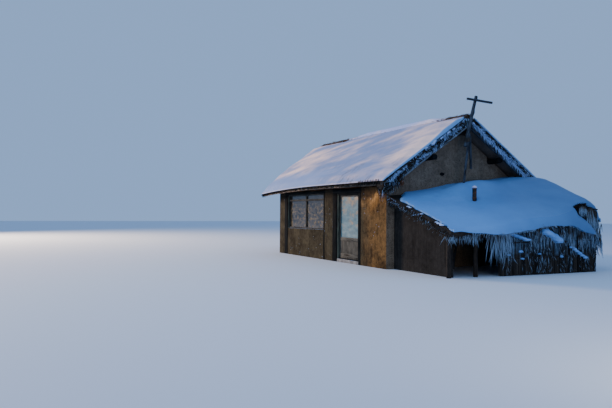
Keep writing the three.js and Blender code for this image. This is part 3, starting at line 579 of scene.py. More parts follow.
def make_board(low, high, bevel, seed, rough=0.0, pitch=0.10):
    low, high = Vector(low), Vector(high)
    size = high - low
    longest = max(range(3), key=lambda axis: size[axis])
    deselect_all()
    bpy.ops.mesh.primitive_cube_add(size=1.0, location=(low + high) / 2.0, scale=size)
    bpy.ops.object.transform_apply(location=True, rotation=True, scale=True)
    board = bpy.context.object

    def runs_along(edge):
        ends = [board.data.vertices[k].co for k in edge.vertices]
        return abs((ends[1] - ends[0])[longest]) > 0.9 * size[longest]

    if rough > 0.0:
        cuts = max(2, int(size[longest] / pitch))
        edit_selected(board, runs_along, lambda: bpy.ops.mesh.subdivide(number_cuts=cuts), mode="EDGE")
    apply_modifier(board, "BEVEL", width=bevel, segments=2, limit_method="ANGLE", angle_limit=math.radians(50.0))
    order = [(longest + 1) % 3, (longest + 2) % 3, longest]
    offset = (0.13, 0.05 * (seed % 7), seed * 2.7)
    grain = []
    for vertex in board.data.vertices:
        from_middle = vertex.co - (low + high) / 2.0
        grain.append([from_middle[axis] + shift for axis, shift in zip(order, offset)])
        if rough > 0.0:
            wave = noise.noise_vector(vertex.co * 2.6 + Vector((seed * 5.1, 0.0, 0.0)))
            wave[longest] = 0.0
            vertex.co += wave * rough
    keep_grain(board, grain)
    return board


print("log and board makers are ready")

# %% [markdown]
# ## Roof timbers
# Five logs run through both gables and stick out under the verges, with pole rafters and battens over
# them and one truss in the room. They replace the plain round solids, on the same axes.

# %% Purlins, plates, rafters and truss
GABLE_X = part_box("gable_wall_right")[1].x
LEFT_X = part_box("gable_wall_left")[0].x
VERGE_X = GABLE_X + 0.47
HALF_SPAN = 2.8
EAVE_TOP = 2.36
SLOPE = 0.68
REED_DROP = 0.28
RIDGE_FLAT = 4.15
RAFTER_RADIUS = 0.034
POLE_GAP = 0.0004
FRONT, BACK = -1, 1


def lengthwise_log(node, seed):
    low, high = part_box(node)
    radius = (high.z - low.z) / 2.0
    middle = (low + high) / 2.0
    return make_log((low.x, middle.y, middle.z), (high.x, middle.y, middle.z), radius * 1.01, radius * 0.98, seed,
                    sides=16, bow=0.0, rough=0.03)


for number, node in enumerate(["ridge_purlin", "purlin_front", "purlin_back", "wall_plate_front", "wall_plate_back"]):
    # The front wall plate takes the paler eave wood, painted sunlight; the purlins take near-black hewn timber,
    # painted shade that hides their ends under the verges.
    wood = EAVE_WOOD if node == "wall_plate_front" else HEWN_WOOD if node.startswith("purlin") else POLE_WOOD
    finish_piece(lengthwise_log(node, number + 1), node + "_log", wood, [node], angle=50.0)


def rafter_axis(y):
    under = EAVE_TOP + SLOPE * (HALF_SPAN - abs(y)) - REED_DROP
    return under - RAFTER_RADIUS * math.hypot(1.0, SLOPE) - POLE_GAP


# The front verge rail is tinted blue-grey, which paints the cold shade of the sky on it.
VERGE_WOOD = timber_material("verge_rail", (0.04, 0.055, 0.065), (0.20, 0.27, 0.33), 0.24, 0.25)


def make_rafters(side, sign):
    low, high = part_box("rafters_" + side)
    poles = []
    count = 16
    foot, head = sign * 2.42, sign * 0.03
    for i in range(count):
        x = low.x + RAFTER_RADIUS + (high.x - low.x - 2.0 * RAFTER_RADIUS) * i / (count - 1)
        poles.append(make_log((x, foot, rafter_axis(foot)), (x, head, rafter_axis(head)), RAFTER_RADIUS, 0.031,
                              40 + i, sides=8, pitch=0.22, bow=0.1))
    for k, y in enumerate((0.3, 1.5, 2.35)):
        poles.append(make_log((high.x - 0.03, sign * y, rafter_axis(y)), (low.x + 0.03, sign * y, rafter_axis(y)),
                              0.02, 0.018, 70 + k, sides=6, pitch=0.4, bow=0.0))
    finish_piece(join_pieces(poles), f"rafter_poles_{side}", POLE_WOOD, ["rafters_" + side])
    x = VERGE_X - 0.045
    foot = sign * 2.77
    pole = make_log((x, foot, rafter_axis(foot)), (x, sign * 0.01, rafter_axis(0.01)), 0.036, 0.032, 90, sides=12,
                    pitch=0.12, bow=0.3)
    wood = VERGE_WOOD if sign < 0 else MAST_WOOD
    finish_piece(pole, f"verge_rail_{side}", wood, ["verge_pole_" + side])


make_rafters("front", FRONT)
make_rafters("back", BACK)

TRUSS_LOW, TRUSS_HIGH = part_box("roof_truss")
truss_x = (TRUSS_LOW.x + TRUSS_HIGH.x) / 2.0
tie = make_board((TRUSS_LOW.x, TRUSS_LOW.y, TRUSS_LOW.z), (TRUSS_HIGH.x, TRUSS_HIGH.y, 2.2), 0.028, 11, 0.006)
posts = [make_log((truss_x, y, 2.16), (truss_x, y, top), 0.058, 0.055, 15 + k, sides=12, bow=0.0)
         for k, (y, top) in enumerate(((0.0, 3.72), (-1.15, 2.95), (1.15, 2.95)))]
finish_piece(join_pieces([tie, *posts]), "truss_timbers", POLE_WOOD, ["roof_truss"])

# %% [markdown]
# ## Straw strands
# Frosted straw is everywhere on this house: on the verges, under the eaves and down the shed. One strand
# is modelled once, from a three-sided cylinder that is cut into rings and tapered, and is then set
# thousands of times into one mesh. Each strand keeps its own shade and the distance along it, for frost.

# %% Strand model and scatter


def model_strand(radii, sides=3, bend=0.0):
    """A strand one long and one in radius, whose rings have these radii from root to tip."""
    strand = ringed_cylinder(sides, len(radii) - 2)
    points = []
    for vertex in strand.data.vertices:
        t = vertex.co.z + 0.5
        size = radii[int(round(t * (len(radii) - 1)))]
        points.append((vertex.co.x * size + bend * t * t, vertex.co.y * size, t))
    faces = [tuple(face.vertices) for face in strand.data.polygons]
    bpy.data.objects.remove(strand)
    return np.array(points), faces


def strand_at(root, direction, length, radius, roll):
    turn = Vector(direction).to_track_quat("Z", "Y").to_matrix().to_4x4()
    spin = Matrix.Rotation(roll, 4, "Z")
    return Matrix.Translation(root) @ turn @ spin @ Matrix.Diagonal((radius, radius, length, 1.0))


def grow(dice, root, direction, lengths, radii, tones):
    """A strand of random length, thickness, roll and shade, as scatter takes it."""
    matrix = strand_at(root, Vector(direction).normalized(), dice.uniform(*lengths), dice.uniform(*radii),
                       dice.uniform(0.0, math.tau))
    return matrix, dice.uniform(*tones)


def scatter(model, spots):
    """One mesh that holds the model once for each (matrix, tone) of spots."""
    shape, faces = model
    count = len(shape)
    points = np.empty((len(spots) * count, 3))
    for i, (matrix, _) in enumerate(spots):
        grid = np.array(matrix)
        points[i * count:(i + 1) * count] = shape @ grid[:3, :3].T + grid[:3, 3]
    all_faces = [tuple(k + i * count for k in face) for i in range(len(spots)) for face in faces]
    mesh = bpy.data.meshes.new("strands")
    mesh.from_pydata(points.tolist(), [], all_faces)
    tone = np.repeat([spot[1] for spot in spots], count)
    along = np.tile(shape[:, 2], len(spots))
    for key, values in (("tone", tone), ("along", along)):
        layer = mesh.attributes.new(key, "FLOAT", "POINT")
        layer.data.foreach_set("value", values.astype(np.float32))
    piece = bpy.data.objects.new("strands", mesh)
    bpy.context.scene.collection.objects.link(piece)
    return piece


STALK = model_strand([1.0, 0.95, 0.9, 0.8, 0.45], sides=4)
BLADE = model_strand([1.0, 0.9, 0.6, 0.08], bend=6.0)
PLUME = model_strand([0.5, 1.15, 0.7, 1.2, 0.6, 0.12], bend=5.0)
print("strand models:", len(STALK[1]), len(BLADE[1]), len(PLUME[1]), "faces")

# %% [markdown]
# ## Straw and reed surfaces
# Old reed is nearly black and brown, and frost whitens it from the tips inwards. The strands read their
# own shade and their distance along. The solid reed behind them reads object coordinates, drawn out along
# the slope.

# %% Straw materials


def straw_material(name, dark, pale, frost_from, frost_amount, white=FROST_BLUE_IN_SHADE):
    material, tree, shader = new_material(name, 0.85)
    tone = put(tree, "Attribute", attribute_name="tone").outputs["Fac"]
    along = put(tree, "Attribute", attribute_name="along").outputs["Fac"]
    where = object_place(tree)
    mottle = noise_value(tree, where, 30.0, 3.0)
    mixed = weigh(tree, tone, 0.7, mottle, 0.4)
    colour = blend_colours(tree, remap(tree, mixed, 0.2, 0.9), (*dark, 1.0), (*pale, 1.0))
    clumps = noise_value(tree, where, 5.0, 4.0)
    frosting = calc(tree, "ADD", calc(tree, "ADD", along, clumps), calc(tree, "MULTIPLY", tone, 0.6))
    mask = calc(tree, "MULTIPLY", remap(tree, frosting, frost_from, frost_from + 0.35), frost_amount)
    tree.links.new(blend_colours(tree, mask, colour, white), shader.inputs["Base Color"])
    crumbs = noise_value(tree, where, 260.0, 3.0)
    add_bump(tree, shader, crumbs, 0.5, 0.003)
    return material


def reed_material(name, dark, pale, frost, drawn=(60.0, 6.0, 60.0)):
    material, tree, shader = new_material(name, 0.9)
    where = object_place(tree)
    stems = noise_value(tree, stretched(tree, where, drawn), 1.0, 6.0, 0.7)
    patches = noise_value(tree, where, 3.0, 4.0)
    tone = weigh(tree, stems, 0.7, patches, 0.4)
    colour = blend_colours(tree, remap(tree, tone, 0.36, 0.75), (*dark, 1.0), (*pale, 1.0))
    # Faces that look down are paler: painted bounce light on the reed's underside.
    facing = part_of(tree, put(tree, "NewGeometry").outputs["Normal"], "Z")
    painted_underside_light = blend_colours(tree, remap(tree, tone, 0.30, 0.70), (0.020, 0.020, 0.021, 1.0), (0.15, 0.135, 0.115, 1.0))
    colour = blend_colours(tree, remap(tree, facing, -0.35, -0.70), colour, painted_underside_light)
    tree.links.new(frost_over(tree, where, colour, frost, 22.0, 0.18), shader.inputs["Base Color"])
    add_bump(tree, shader, stems, 1.0, 0.02)
    return material


REED = reed_material("dark_reed", (0.005, 0.005, 0.006), (0.048, 0.042, 0.036), -0.08)
ROLL_REED = reed_material("ridge_reed", (0.012, 0.008, 0.005), (0.10, 0.064, 0.036), -0.04, (6.0, 70.0, 70.0))
# Where the straw hangs in shade its colours are blue and dim: ICE_BLUE, the flecks' straw and the stalks' frost paint
# the sky's cold shade.
ICE_BLUE = (0.20, 0.31, 0.44, 1.0)
SHADE_ICE = (0.24, 0.47, 0.68, 1.0)
VERGE_STRAW = straw_material("verge_straw", (0.004, 0.005, 0.007), (0.055, 0.038, 0.022), 1.55, 0.9, SHADE_ICE)
RIDGE_STRAW = straw_material("ridge_straw", (0.016, 0.010, 0.006), (0.14, 0.088, 0.048), 1.55, 0.7)
FROST_STRAW = straw_material("frosted_straw", (0.008, 0.008, 0.010), (0.09, 0.085, 0.075), 1.16, 1.0, ICE_BLUE)
FLECK_STRAW = straw_material("frost_flecks", (0.02, 0.045, 0.085), (0.12, 0.19, 0.29), 0.85, 0.9,
                              (0.31, 0.49, 0.80, 1.0))
STALK_STRAW = straw_material("wall_stalks", (0.005, 0.005, 0.006), (0.050, 0.046, 0.040), 1.34, 0.70,
                              (0.11, 0.21, 0.33, 1.0))
print("straw materials:", REED.name, VERGE_STRAW.name, FROST_STRAW.name)

# %% [markdown]
# ## The reed slopes
# Each slope is a thick mat of reed. It is thin where its eave was trimmed, full at both verges, and droops
# at the left corner. A grid primitive is extruded once into a slab, and its two layers are moved to the
# mat's underside and top, with lumps on the faces that show.

# %% Slab maker and reed slopes


def make_slab(columns, rows, place, bottom, top):
    deselect_all()
    bpy.ops.mesh.primitive_grid_add(x_subdivisions=columns, y_subdivisions=rows, size=2.0, location=(0.0, 0.0, 0.0))
    slab = bpy.context.object
    edit_selected(slab, lambda face: True,
                  lambda: bpy.ops.mesh.extrude_region_move(TRANSFORM_OT_translate={"value": (0.0, 0.0, 1.0)}))
    for vertex in slab.data.vertices:
        x, y = place((vertex.co.x + 1.0) / 2.0, (vertex.co.y + 1.0) / 2.0)
        vertex.co = (x, y, top(x, y) if vertex.co.z > 0.5 else bottom(x, y))
    return slab


def left_verge(y):
    return LEFT_X - 0.778 - 0.342 * (1.0 - abs(y) / HALF_SPAN)


def left_share(x):
    share = min(1.0, max(0.0, (GABLE_X - 3.4 - x) / 4.6))
    return share * share


def reed_top(x, y):
    droop = 0.15 * left_share(x) * smooth(1.5, HALF_SPAN, abs(y))
    return min(RIDGE_FLAT, EAVE_TOP + SLOPE * (HALF_SPAN - abs(y)) - droop)


def reed_bottom(x, y):
    reach = max(0.0, abs(y) - 2.442) / (HALF_SPAN - 2.442)
    thin = reach * smooth(0.165, 0.45, VERGE_X - x)
    under = EAVE_TOP + SLOPE * (HALF_SPAN - abs(y)) - REED_DROP
    droop = 0.15 * left_share(x) * smooth(0.0, 1.0, reach)
    return under + (EAVE_TOP - 0.075 - under) * thin - droop


def reed_face(x, y):
    """The foot and the head of the reed's edge at this place."""
    return reed_bottom(x, y), reed_top(x, y)


def denser_at_ends(t, pull=0.13):
    """Moves a grid's even steps from 0 to 1 closer together at both ends."""
    return t - pull * math.sin(math.tau * t)


def make_reed_slope(side, sign):
    def place(u, v):
        y = sign * (0.0005 + (HALF_SPAN - 0.0005) * (1.0 - v if sign < 0 else v))
        x = left_verge(y) + (VERGE_X - left_verge(y)) * denser_at_ends(u)
        return x, y

    def ragged(x, y, z):
        return z + 0.016 * noise.noise((x * 7.0, y * 7.0, 3.0)) * smooth(2.2, 2.5, abs(y))

    slab = make_slab(150, 40, place, lambda x, y: ragged(x, y, reed_bottom(x, y)), reed_top)
    for vertex in slab.data.vertices:
        edge = smooth(0.12, 0.0, min(VERGE_X - vertex.co.x, vertex.co.x - left_verge(vertex.co.y)))
        vertex.co.x += 0.03 * edge * noise.noise(vertex.co * 9.0)
    finish_piece(slab, f"reed_slope_{side}", REED, ["thatch_" + side])


make_reed_slope("front", FRONT)
make_reed_slope("back", BACK)
IN_VERGE = VERGE_X - 0.01

# %% [markdown]
# ## Ragged verges and eave
# The cut ends of the reed bristle out of both verges and hang a little under the eave. Most are dark, and
# frost has whitened many tips, which gives the roof its blue and black edge. Blades are set over the
# verge faces at random, leaning outwards and down.

# %% Verge and eave straw


def verge_spots(dice, side_x, sign, count, lengths, white):
    """Blades on one verge face. side_x is +1 at the right verge and -1 at the left."""
    spots = []
    for _ in range(count):
        y = sign * dice.uniform(0.02, HALF_SPAN + 0.01)
        x = VERGE_X if side_x > 0 else left_verge(y)
        low, high = reed_face(x - 0.01 * side_x, y)
        height = dice.random()
        z = low + (high - low) * height
        outwards = dice.uniform(0.35, 1.0)
        direction = Vector((side_x * outwards, sign * dice.uniform(-0.25, 0.65), -dice.uniform(0.15, 1.15)))
        over_rail = height < 0.35 and abs(y) < 2.1
        length = dice.uniform(*lengths) * (0.35 if over_rail else 1.0)
        blade = strand_at((x - side_x * 0.03, y, z), direction.normalized(), length, dice.uniform(0.004, 0.009),
                          dice.uniform(0.0, math.tau))
        spots.append((blade, min(1.0, max(0.0, dice.gauss(white, 0.3)))))
    return spots


def eave_spots(dice, sign, count, lengths, white):
    """Short blades under one eave."""
    spots = []
    for _ in range(count):
        y = sign * (HALF_SPAN - dice.uniform(0.0, 0.05))
        x = dice.uniform(left_verge(y) + 0.02, VERGE_X - 0.02)
        direction = Vector((dice.uniform(-0.3, 0.3), sign * dice.uniform(0.4, 1.3), -dice.uniform(0.5, 1.0)))
        z = reed_bottom(x, y) + dice.uniform(0.005, 0.07)
        blade = strand_at((x, y, z), direction.normalized(), dice.uniform(*lengths), dice.uniform(0.003, 0.006),
                          dice.uniform(0.0, math.tau))
        spots.append((blade, min(1.0, max(0.0, dice.gauss(white, 0.25)))))
    return spots


dice = random.Random(21)
for name, side_x, count, lengths, white in (("verge_straw_right", 1, 2600, (0.05, 0.15), 0.32),
                                            ("verge_straw_left", -1, 1500, (0.05, 0.12), 0.3)):
    blades = [blade for sign in (FRONT, BACK) for blade in verge_spots(dice, side_x, sign, count, lengths, white)]
    finish_piece(scatter(BLADE, blades), name, VERGE_STRAW)
blades = [blade for sign in (FRONT, BACK) for blade in eave_spots(dice, sign, 1700, (0.03, 0.09), 0.06)]
finish_piece(scatter(BLADE, blades), "eave_straw", VERGE_STRAW)

# %% [markdown]
# Frost has grown in thick flecks on parts of the verges, and the front one ends in a drooping bunch over
# the wall's corner. A few flecks sit along the front of the lean-to shed, whose roof starts at a known
# height on the gable and falls evenly from there.

# %% Verge frost and drooping bunch
SHED_HEAD, SHED_FALL = 1.98, 0.327


def frost_spots(dice, sign, count):
    spots = []
    while len(spots) < count:
        y = sign * dice.uniform(0.04, HALF_SPAN + 0.02)
        height = dice.random()
        low_end = 0.25 * smooth(1.7, 2.3, -y)
        if noise.noise((y * 3.4, height * 2.2, 11.0 * sign)) < dice.uniform(-0.20, 0.45) + low_end:
            continue
        low, high = reed_face(IN_VERGE, y)
        along = dice.uniform(-0.35, 0.35) if sign < 0 else dice.uniform(0.3, 1.0)
        direction = (dice.uniform(0.2, 0.7), along, -dice.uniform(0.4, 1.0))
        root = (VERGE_X + dice.uniform(-0.01, 0.05), y, low + (high - low) * (0.2 + 0.8 * height))
        spots.append(grow(dice, root, direction, (0.04, 0.11), (0.0028, 0.0065), (0.2, 1.2)))
    return spots


def droop_spots(dice, sign, count, lengths, radii, tones):
    spots = []
    for _ in range(count):
        t = dice.random()
        y = sign * (2.18 + 0.66 * t)
        x = VERGE_X - 0.30 * dice.random() ** 1.5 + 0.03
        direction = (dice.uniform(-0.25, 0.35), sign * dice.uniform(-0.45, 0.30), -1.0)
        root = (x, y, reed_bottom(IN_VERGE, min(2.79, abs(y))) + dice.uniform(0.02, 0.12))
        spots.append(grow(dice, root, direction, lengths, radii, tones))
    return spots


dice = random.Random(3)
flecks = frost_spots(dice, FRONT, 540) + frost_spots(dice, BACK, 360)
flecks += droop_spots(dice, FRONT, 40, (0.08, 0.30), (0.003, 0.006), (0.0, 0.8))
for _ in range(36):
    out = 1.9 * dice.random() ** 1.4
    root = (GABLE_X + out, -2.40, SHED_HEAD - SHED_FALL * out - dice.uniform(-0.01, 0.12))
    direction = (dice.uniform(-0.2, 0.5), -dice.uniform(0.2, 0.8), -dice.uniform(0.3, 1.0))
    flecks.append(grow(dice, root, direction, (0.03, 0.08), (0.003, 0.006), (0.0, 0.7)))
finish_piece(scatter(PLUME, flecks), "verge_frost_flecks", FLECK_STRAW)
drooping = droop_spots(dice, FRONT, 420, (0.12, 0.36), (0.004, 0.009), (0.0, 0.6))
drooping += droop_spots(dice, BACK, 160, (0.08, 0.20), (0.004, 0.008), (0.0, 0.6))
finish_piece(scatter(BLADE, drooping), "verge_drooping_straw", VERGE_STRAW)

# %% [markdown]
# At the right end of the front eave, small dark stakes stand in a row through the snow's edge. Along its
# left part, thin poles are tied under the trimmed reed, end to end, and follow its droop.

# %% Eave stubs and laths
stubs = []
for k in range(14):
    foot = Vector((2.10 + 0.082 * k + dice.uniform(-0.012, 0.012), -2.828, 2.262))
    head = foot + Vector((dice.uniform(-0.01, 0.01), -0.020, dice.uniform(0.110, 0.135)))
    stubs.append(make_log(foot, head, 0.014, 0.009, 500 + k, sides=7, pitch=0.03, knots=0, bow=0.0))
finish_piece(join_pieces(stubs), "eave_stubs", HEWN_WOOD, angle=50.0)
LATH_Y, LATH_PITCH = -2.762, 1.0


def under_eave(x):
    return Vector((x, LATH_Y, reed_bottom(x, LATH_Y) - 0.004))


# The laths are pale: painted sunlight along the lower edge of the trimmed reed.
laths = [make_log(under_eave(x), under_eave(x + 1.02), 0.024, 0.021, 530 + k, sides=9, rough=0.10, bow=0.3, knots=2)
         for k, x in enumerate(np.arange(-4.95, 0.2, LATH_PITCH))]
finish_piece(join_pieces(laths), "eave_lath", LATH_WOOD, angle=50.0)

# %% [markdown]
# ## The ridge roll
# A roll of straw lies over the ridge and is bare at both ends, where the wind keeps the snow off. Its
# solid is copied and roughened, and long straws are laid over it with cross ties.

# %% Ridge roll
ROLL_LOW, ROLL_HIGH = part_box("ridge_roll")
ROLL_HALF_WIDTH, ROLL_HEIGHT = 0.160, 0.130


def roll_point(x, angle, out):
    """A place at this turn round the roll, and so far out of its surface."""
    lump = 0.012 * noise.noise((x * 3.0, angle * 2.0, 0.0))
    return Vector((x, (ROLL_HALF_WIDTH + out + lump) * math.cos(angle),
                   RIDGE_FLAT + (ROLL_HEIGHT + out + lump) * math.sin(angle)))


def make_ridge_roll():
    roll = ringed_cylinder(24, 90)
    for vertex in roll.data.vertices:
        t = vertex.co.z + 0.5
        angle = math.atan2(vertex.co.y, vertex.co.x)
        point = roll_point(ROLL_LOW.x + 0.03 + (ROLL_HIGH.x - ROLL_LOW.x - 0.06) * t, angle, -0.014)
        point.z = max(point.z, RIDGE_FLAT - 0.04)
        vertex.co = point
    face_outwards(roll)
    finish_piece(roll, "ridge_roll_core", ROLL_REED, ["ridge_roll"], angle=60.0)


make_ridge_roll()
spots = []
for _ in range(2300):
    x = dice.choice((dice.uniform(ROLL_LOW.x + 0.02, -3.3), dice.uniform(1.6, ROLL_HIGH.x - 0.02),
                     dice.uniform(ROLL_LOW.x, ROLL_HIGH.x - 0.3)))
    length = dice.uniform(0.15, 0.42)
    along = dice.choice((-1.0, 1.0))
    first = ROLL_LOW.x + 0.02 + max(0.0, -along) * length * 0.9
    last = ROLL_HIGH.x - 0.02 - max(0.0, along) * length * 0.9
    x = min(last, max(first, x))
    angle = dice.uniform(0.02, math.pi - 0.02)
    direction = Vector((along, dice.uniform(-0.10, 0.10), dice.uniform(-0.07, 0.07))).normalized()
    blade = strand_at(roll_point(x, angle, -0.006), direction, length, dice.uniform(0.004, 0.008),
                      dice.uniform(0.0, math.tau))
    spots.append((blade, dice.random()))
finish_piece(scatter(BLADE, spots), "ridge_roll_straw", RIDGE_STRAW)


def make_tie(x, seed):
    """A straw band over the roll: a torus primitive, pressed to the roll's half-ellipse."""
    deselect_all()
    bpy.ops.mesh.primitive_torus_add(major_segments=36, minor_segments=8, major_radius=1.0, minor_radius=0.06)
    band = bpy.context.object
    twist = random.Random(seed).uniform(-0.03, 0.03)
    for vertex in band.data.vertices:
        angle = math.atan2(vertex.co.y, vertex.co.x)
        ring = math.hypot(vertex.co.x, vertex.co.y) - 1.0
        point = roll_point(x + twist * math.cos(angle), angle, ring * 0.16 + 0.004)
        vertex.co = (point.x + vertex.co.z * 0.22, point.y, max(point.z, RIDGE_FLAT - 0.03))
    face_outwards(band)
    return band


ties = [make_tie(ROLL_LOW.x + 0.25 + 0.75 * k, k) for k in range(12)]
finish_piece(join_pieces(ties), "ridge_ties", ROLL_REED)

# %% [markdown]
# ## Snow
# Settled powder snow is white. Here its colour is painted light: a painted blue shade colour and a painted warm
# sunlit colour are blended along long soft bands, which paint the low sun's streaks and the shadows of trees, and a
# lean paints more shade on the left of the roof and more sun on its right. Its surface is soft at arm's length and
# grainy close by, so a broad and a fine noise share one bump.

# %% Snow group and materials


def build_snow_group():
    group, given, result = new_group("settled_snow", [("Vector", VECTOR, (0, 0, 0)), ("Shade", COLOUR, (0, 0, 0, 1)),
                                                      ("Lit", COLOUR, (1, 1, 1, 1)), ("Bands", VECTOR, (1, 1, 1))],
                                     [("Color", COLOUR), ("Height", NUMBER)])
    where = given["Vector"]
    drawn = put(group, "VectorMath", {0: where, 1: given["Bands"]}, operation="MULTIPLY").outputs[0]
    # These bands paint the low sun's warm streaks and the trees' shadows on the snow.
    sun_and_shadow_bands = noise_value(group, drawn, 1.0, 3.0, 0.5)
    soft = noise_value(group, where, 2.5, 3.0)
    tone = weigh(group, sun_and_shadow_bands, 0.8, soft, 0.2)
    along = part_of(group, where, "X")
    # The lean paints more shade on the left of the roof and more sunlight on its right.
    left_shade_lean = remap(group, along, -5.0, -0.5, 0.035, -0.075)
    lean = calc(group, "ADD", left_shade_lean, remap(group, along, 0.2, 3.0, 0.0, 0.19))
    lit = remap(group, calc(group, "ADD", tone, lean), 0.38, 0.74)
    group.links.new(blend_colours(group, lit, given["Shade"], given["Lit"]), result["Color"])
    ripples = noise_value(group, where, 9.0, 5.0, 0.6)
    grains = noise_value(group, where, 140.0, 2.0)
    height = weigh(group, ripples, 0.8, grains, 0.12)
    group.links.new(height, result["Height"])
    return group


SNOW = build_snow_group()


def snow_material(name, shade, lit, sun_and_shadow_bands, turn=(0.0, 0.0, 0.0), bump=0.35, towards_back=1.0, verge=None):
    """towards_back is how bright the snow stays at the back of the shed, a painted shade for the less light that
    reaches it there, and verge is the colour of the roof snow's side, a painted shade for a side that looks away from
    the low light."""
    material, tree, shader = new_material(name, 0.55, 0.25)
    where = object_place(tree)
    turned = put(tree, "Mapping", {"Vector": where, "Rotation": turn}).outputs[0]
    snow = place_group(tree, SNOW, {"Vector": turned, "Shade": (*shade, 1.0), "Lit": (*lit, 1.0), "Bands": sun_and_shadow_bands})
    along = part_of(tree, where, "Y")
    # Painted shade: the shed's snow darkens towards the back.
    dimmed = blend_colours(tree, remap(tree, along, -2.2, 2.4), (1, 1, 1, 1), (towards_back,) * 3 + (1.0,))
    product = put(tree, "Mix", {0: 1.0, 6: snow["Color"], 7: dimmed}, data_type="RGBA", blend_type="MULTIPLY")
    colour = product.outputs[2]
    if verge:
        outwards = part_of(tree, where, "X")
        side = remap(tree, outwards, VERGE_X - 0.055, VERGE_X - 0.010)
        stems = noise_value(tree, stretched(tree, where, (9.0, 2.2, 2.2)), 1.0, 5.0, 0.65)
        bare = noise_value(tree, stretched(tree, where, (0.9, 1.6, 1.6)), 1.0, 3.0, 0.55)
        thin = calc(tree, "MULTIPLY", remap(tree, along, -1.7, -2.4), remap(tree, stems, 0.50, 0.60, 0.0, 0.75))
        thin = calc(tree, "MULTIPLY", thin, remap(tree, bare, 0.50, 0.62))
        colour = blend_colours(tree, thin, colour, (0.13, 0.14, 0.17, 1.0))
        # Painted shade: the roof's lower left turns blue near the eave.
        shaded = calc(tree, "MULTIPLY", remap(tree, along, -1.90, -2.45, 0.0, 0.88), remap(tree, outwards, 0.1, -0.9))
        colour = blend_colours(tree, shaded, colour, (0.225, 0.325, 0.570, 1.0))
        colour = blend_colours(tree, side, colour, (*verge, 1.0))
    tree.links.new(colour, shader.inputs["Base Color"])
    add_bump(tree, shader, snow["Height"], bump, 0.02)
    return material


# Snow is white; these colours are painted light: each shade colour is painted blue shade, each lit colour painted
# warm sunlight, and the snow of the shed and the cushions is painted deep blue shade throughout.
ROOF_SNOW = snow_material("roof_snow", (0.215, 0.285, 0.485), (0.92, 0.69, 0.62), (0.42, 1.8, 1.8), (0.0, 0.0, -0.36),
                          verge=(0.155, 0.34, 0.62))
RIDGE_SNOW = snow_material("ridge_snow", (0.36, 0.45, 0.76), (0.80, 0.68, 0.70), (1.0, 3.0, 3.0))
SHED_SNOW = snow_material("shed_snow", (0.105, 0.28, 0.60), (0.15, 0.37, 0.74), (0.35, 0.5, 0.8), bump=0.2,
                          towards_back=0.55)
VERGE_SNOW = snow_material("verge_snow", (0.17, 0.33, 0.66), (0.42, 0.58, 0.88), (4.0, 4.0, 4.0), bump=0.4)
CLUMP_SNOW = snow_material("clump_snow", (0.10, 0.27, 0.58), (0.20, 0.42, 0.80), (4.0, 4.0, 4.0), bump=0.4)
print("snow materials:", ROOF_SNOW.name, RIDGE_SNOW.name, SHED_SNOW.name, CLUMP_SNOW.name)

# %% [markdown]
# ## Snow on the slopes
# The snow lies as a soft blanket that rounds off at the verges, thins at the eave and lies in low waves.
# Wind has thinned it along the front verge and blown most of it off the back one. The same slab maker
# gives it, with its underside seated just over the reed's top.

# %% Slope snow
SNOW_SEAT = 0.0006


def rounded(distance, reach):
    """A quarter circle's rise from 0 at the edge to 1 at reach."""
    t = min(1.0, max(0.0, distance / reach))
    return math.sqrt(max(0.0, 1.0 - (1.0 - t) ** 2))


def slope_snow_depth(x, y):
    up = (HALF_SPAN - abs(y)) / (HALF_SPAN - 0.2)
    bare = max(smooth(-2.4, -3.4, x), 0.5 * smooth(1.8, 2.4, x))
    head = 1.0 - (0.45 + 0.30 * bare) * smooth(0.93 - 0.06 * bare, 1.0, up)
    eave = 0.30 + 0.70 * smooth(-0.01, 0.09, up)
    waves = 0.010 * math.sin(x / 0.52 + y / 0.31) + 0.006 * math.sin(x / 0.233 - y / 0.42)
    drifts = 0.022 * noise.noise((x * 0.55 + y * 0.5, y * 2.6 - x * 0.25, 5.0))
    lumps = 0.010 * noise.noise((x * 3.1, y * 3.1, 1.0)) + 0.004 * noise.noise((x * 11.0, y * 11.0, 2.0))
    blown = 1.0 - 0.68 * smooth(0.0, 0.4, y) * smooth(GABLE_X - 0.7, VERGE_X, x)
    edge = smooth(0.42, 0.02, VERGE_X - x) * smooth(0.0, -0.3, y)
    thinned = 1.0 - edge * (0.22 + 0.46 * smooth(-0.85, -1.35, y))
    return (0.118 + 0.022 * up + waves + drifts + lumps) * head * eave * blown * thinned


def make_slope_snow(side, sign):
    past = 0.025

    def place(u, v):
        t = 1.0 - v if sign < 0 else v
        y = sign * (0.2 + (HALF_SPAN + past - 0.2) * denser_at_ends(t, 0.10))
        lip = 0.024 * noise.noise((y * 4.0, 9.0, 0.0)) + 0.014 * noise.noise((y * 12.0, 5.0, 0.0))
        left, right = left_verge(y) - 0.01 + lip, VERGE_X + past + lip
        return left + (right - left) * denser_at_ends(u, 0.14), y

    def bottom(x, y):
        return reed_top(x, y) + SNOW_SEAT

    def top(x, y):
        edge = min(x - left_verge(y) + 0.02, VERGE_X + past + 0.02 - x)
        depth = slope_snow_depth(x, y)
        low_edge = HALF_SPAN + past + 0.012 * noise.noise((x * 3.0, 4.0, 0.0)) - abs(y)
        return bottom(x, y) + 0.012 + depth * rounded(edge, 0.07) * rounded(low_edge + 0.03, 0.16)

    slab = make_slab(260, 90, place, bottom, top)
    finish_piece(slab, f"snow_slope_{side}", ROOF_SNOW, [f"snow_{side}_slope"], angle=75.0)


make_slope_snow("front", FRONT)
make_slope_snow("back", BACK)

# %% [markdown]
# The ridge carries its own low cap, which thins to nothing before both ends and leaves the straw bare.

# %% Ridge snow


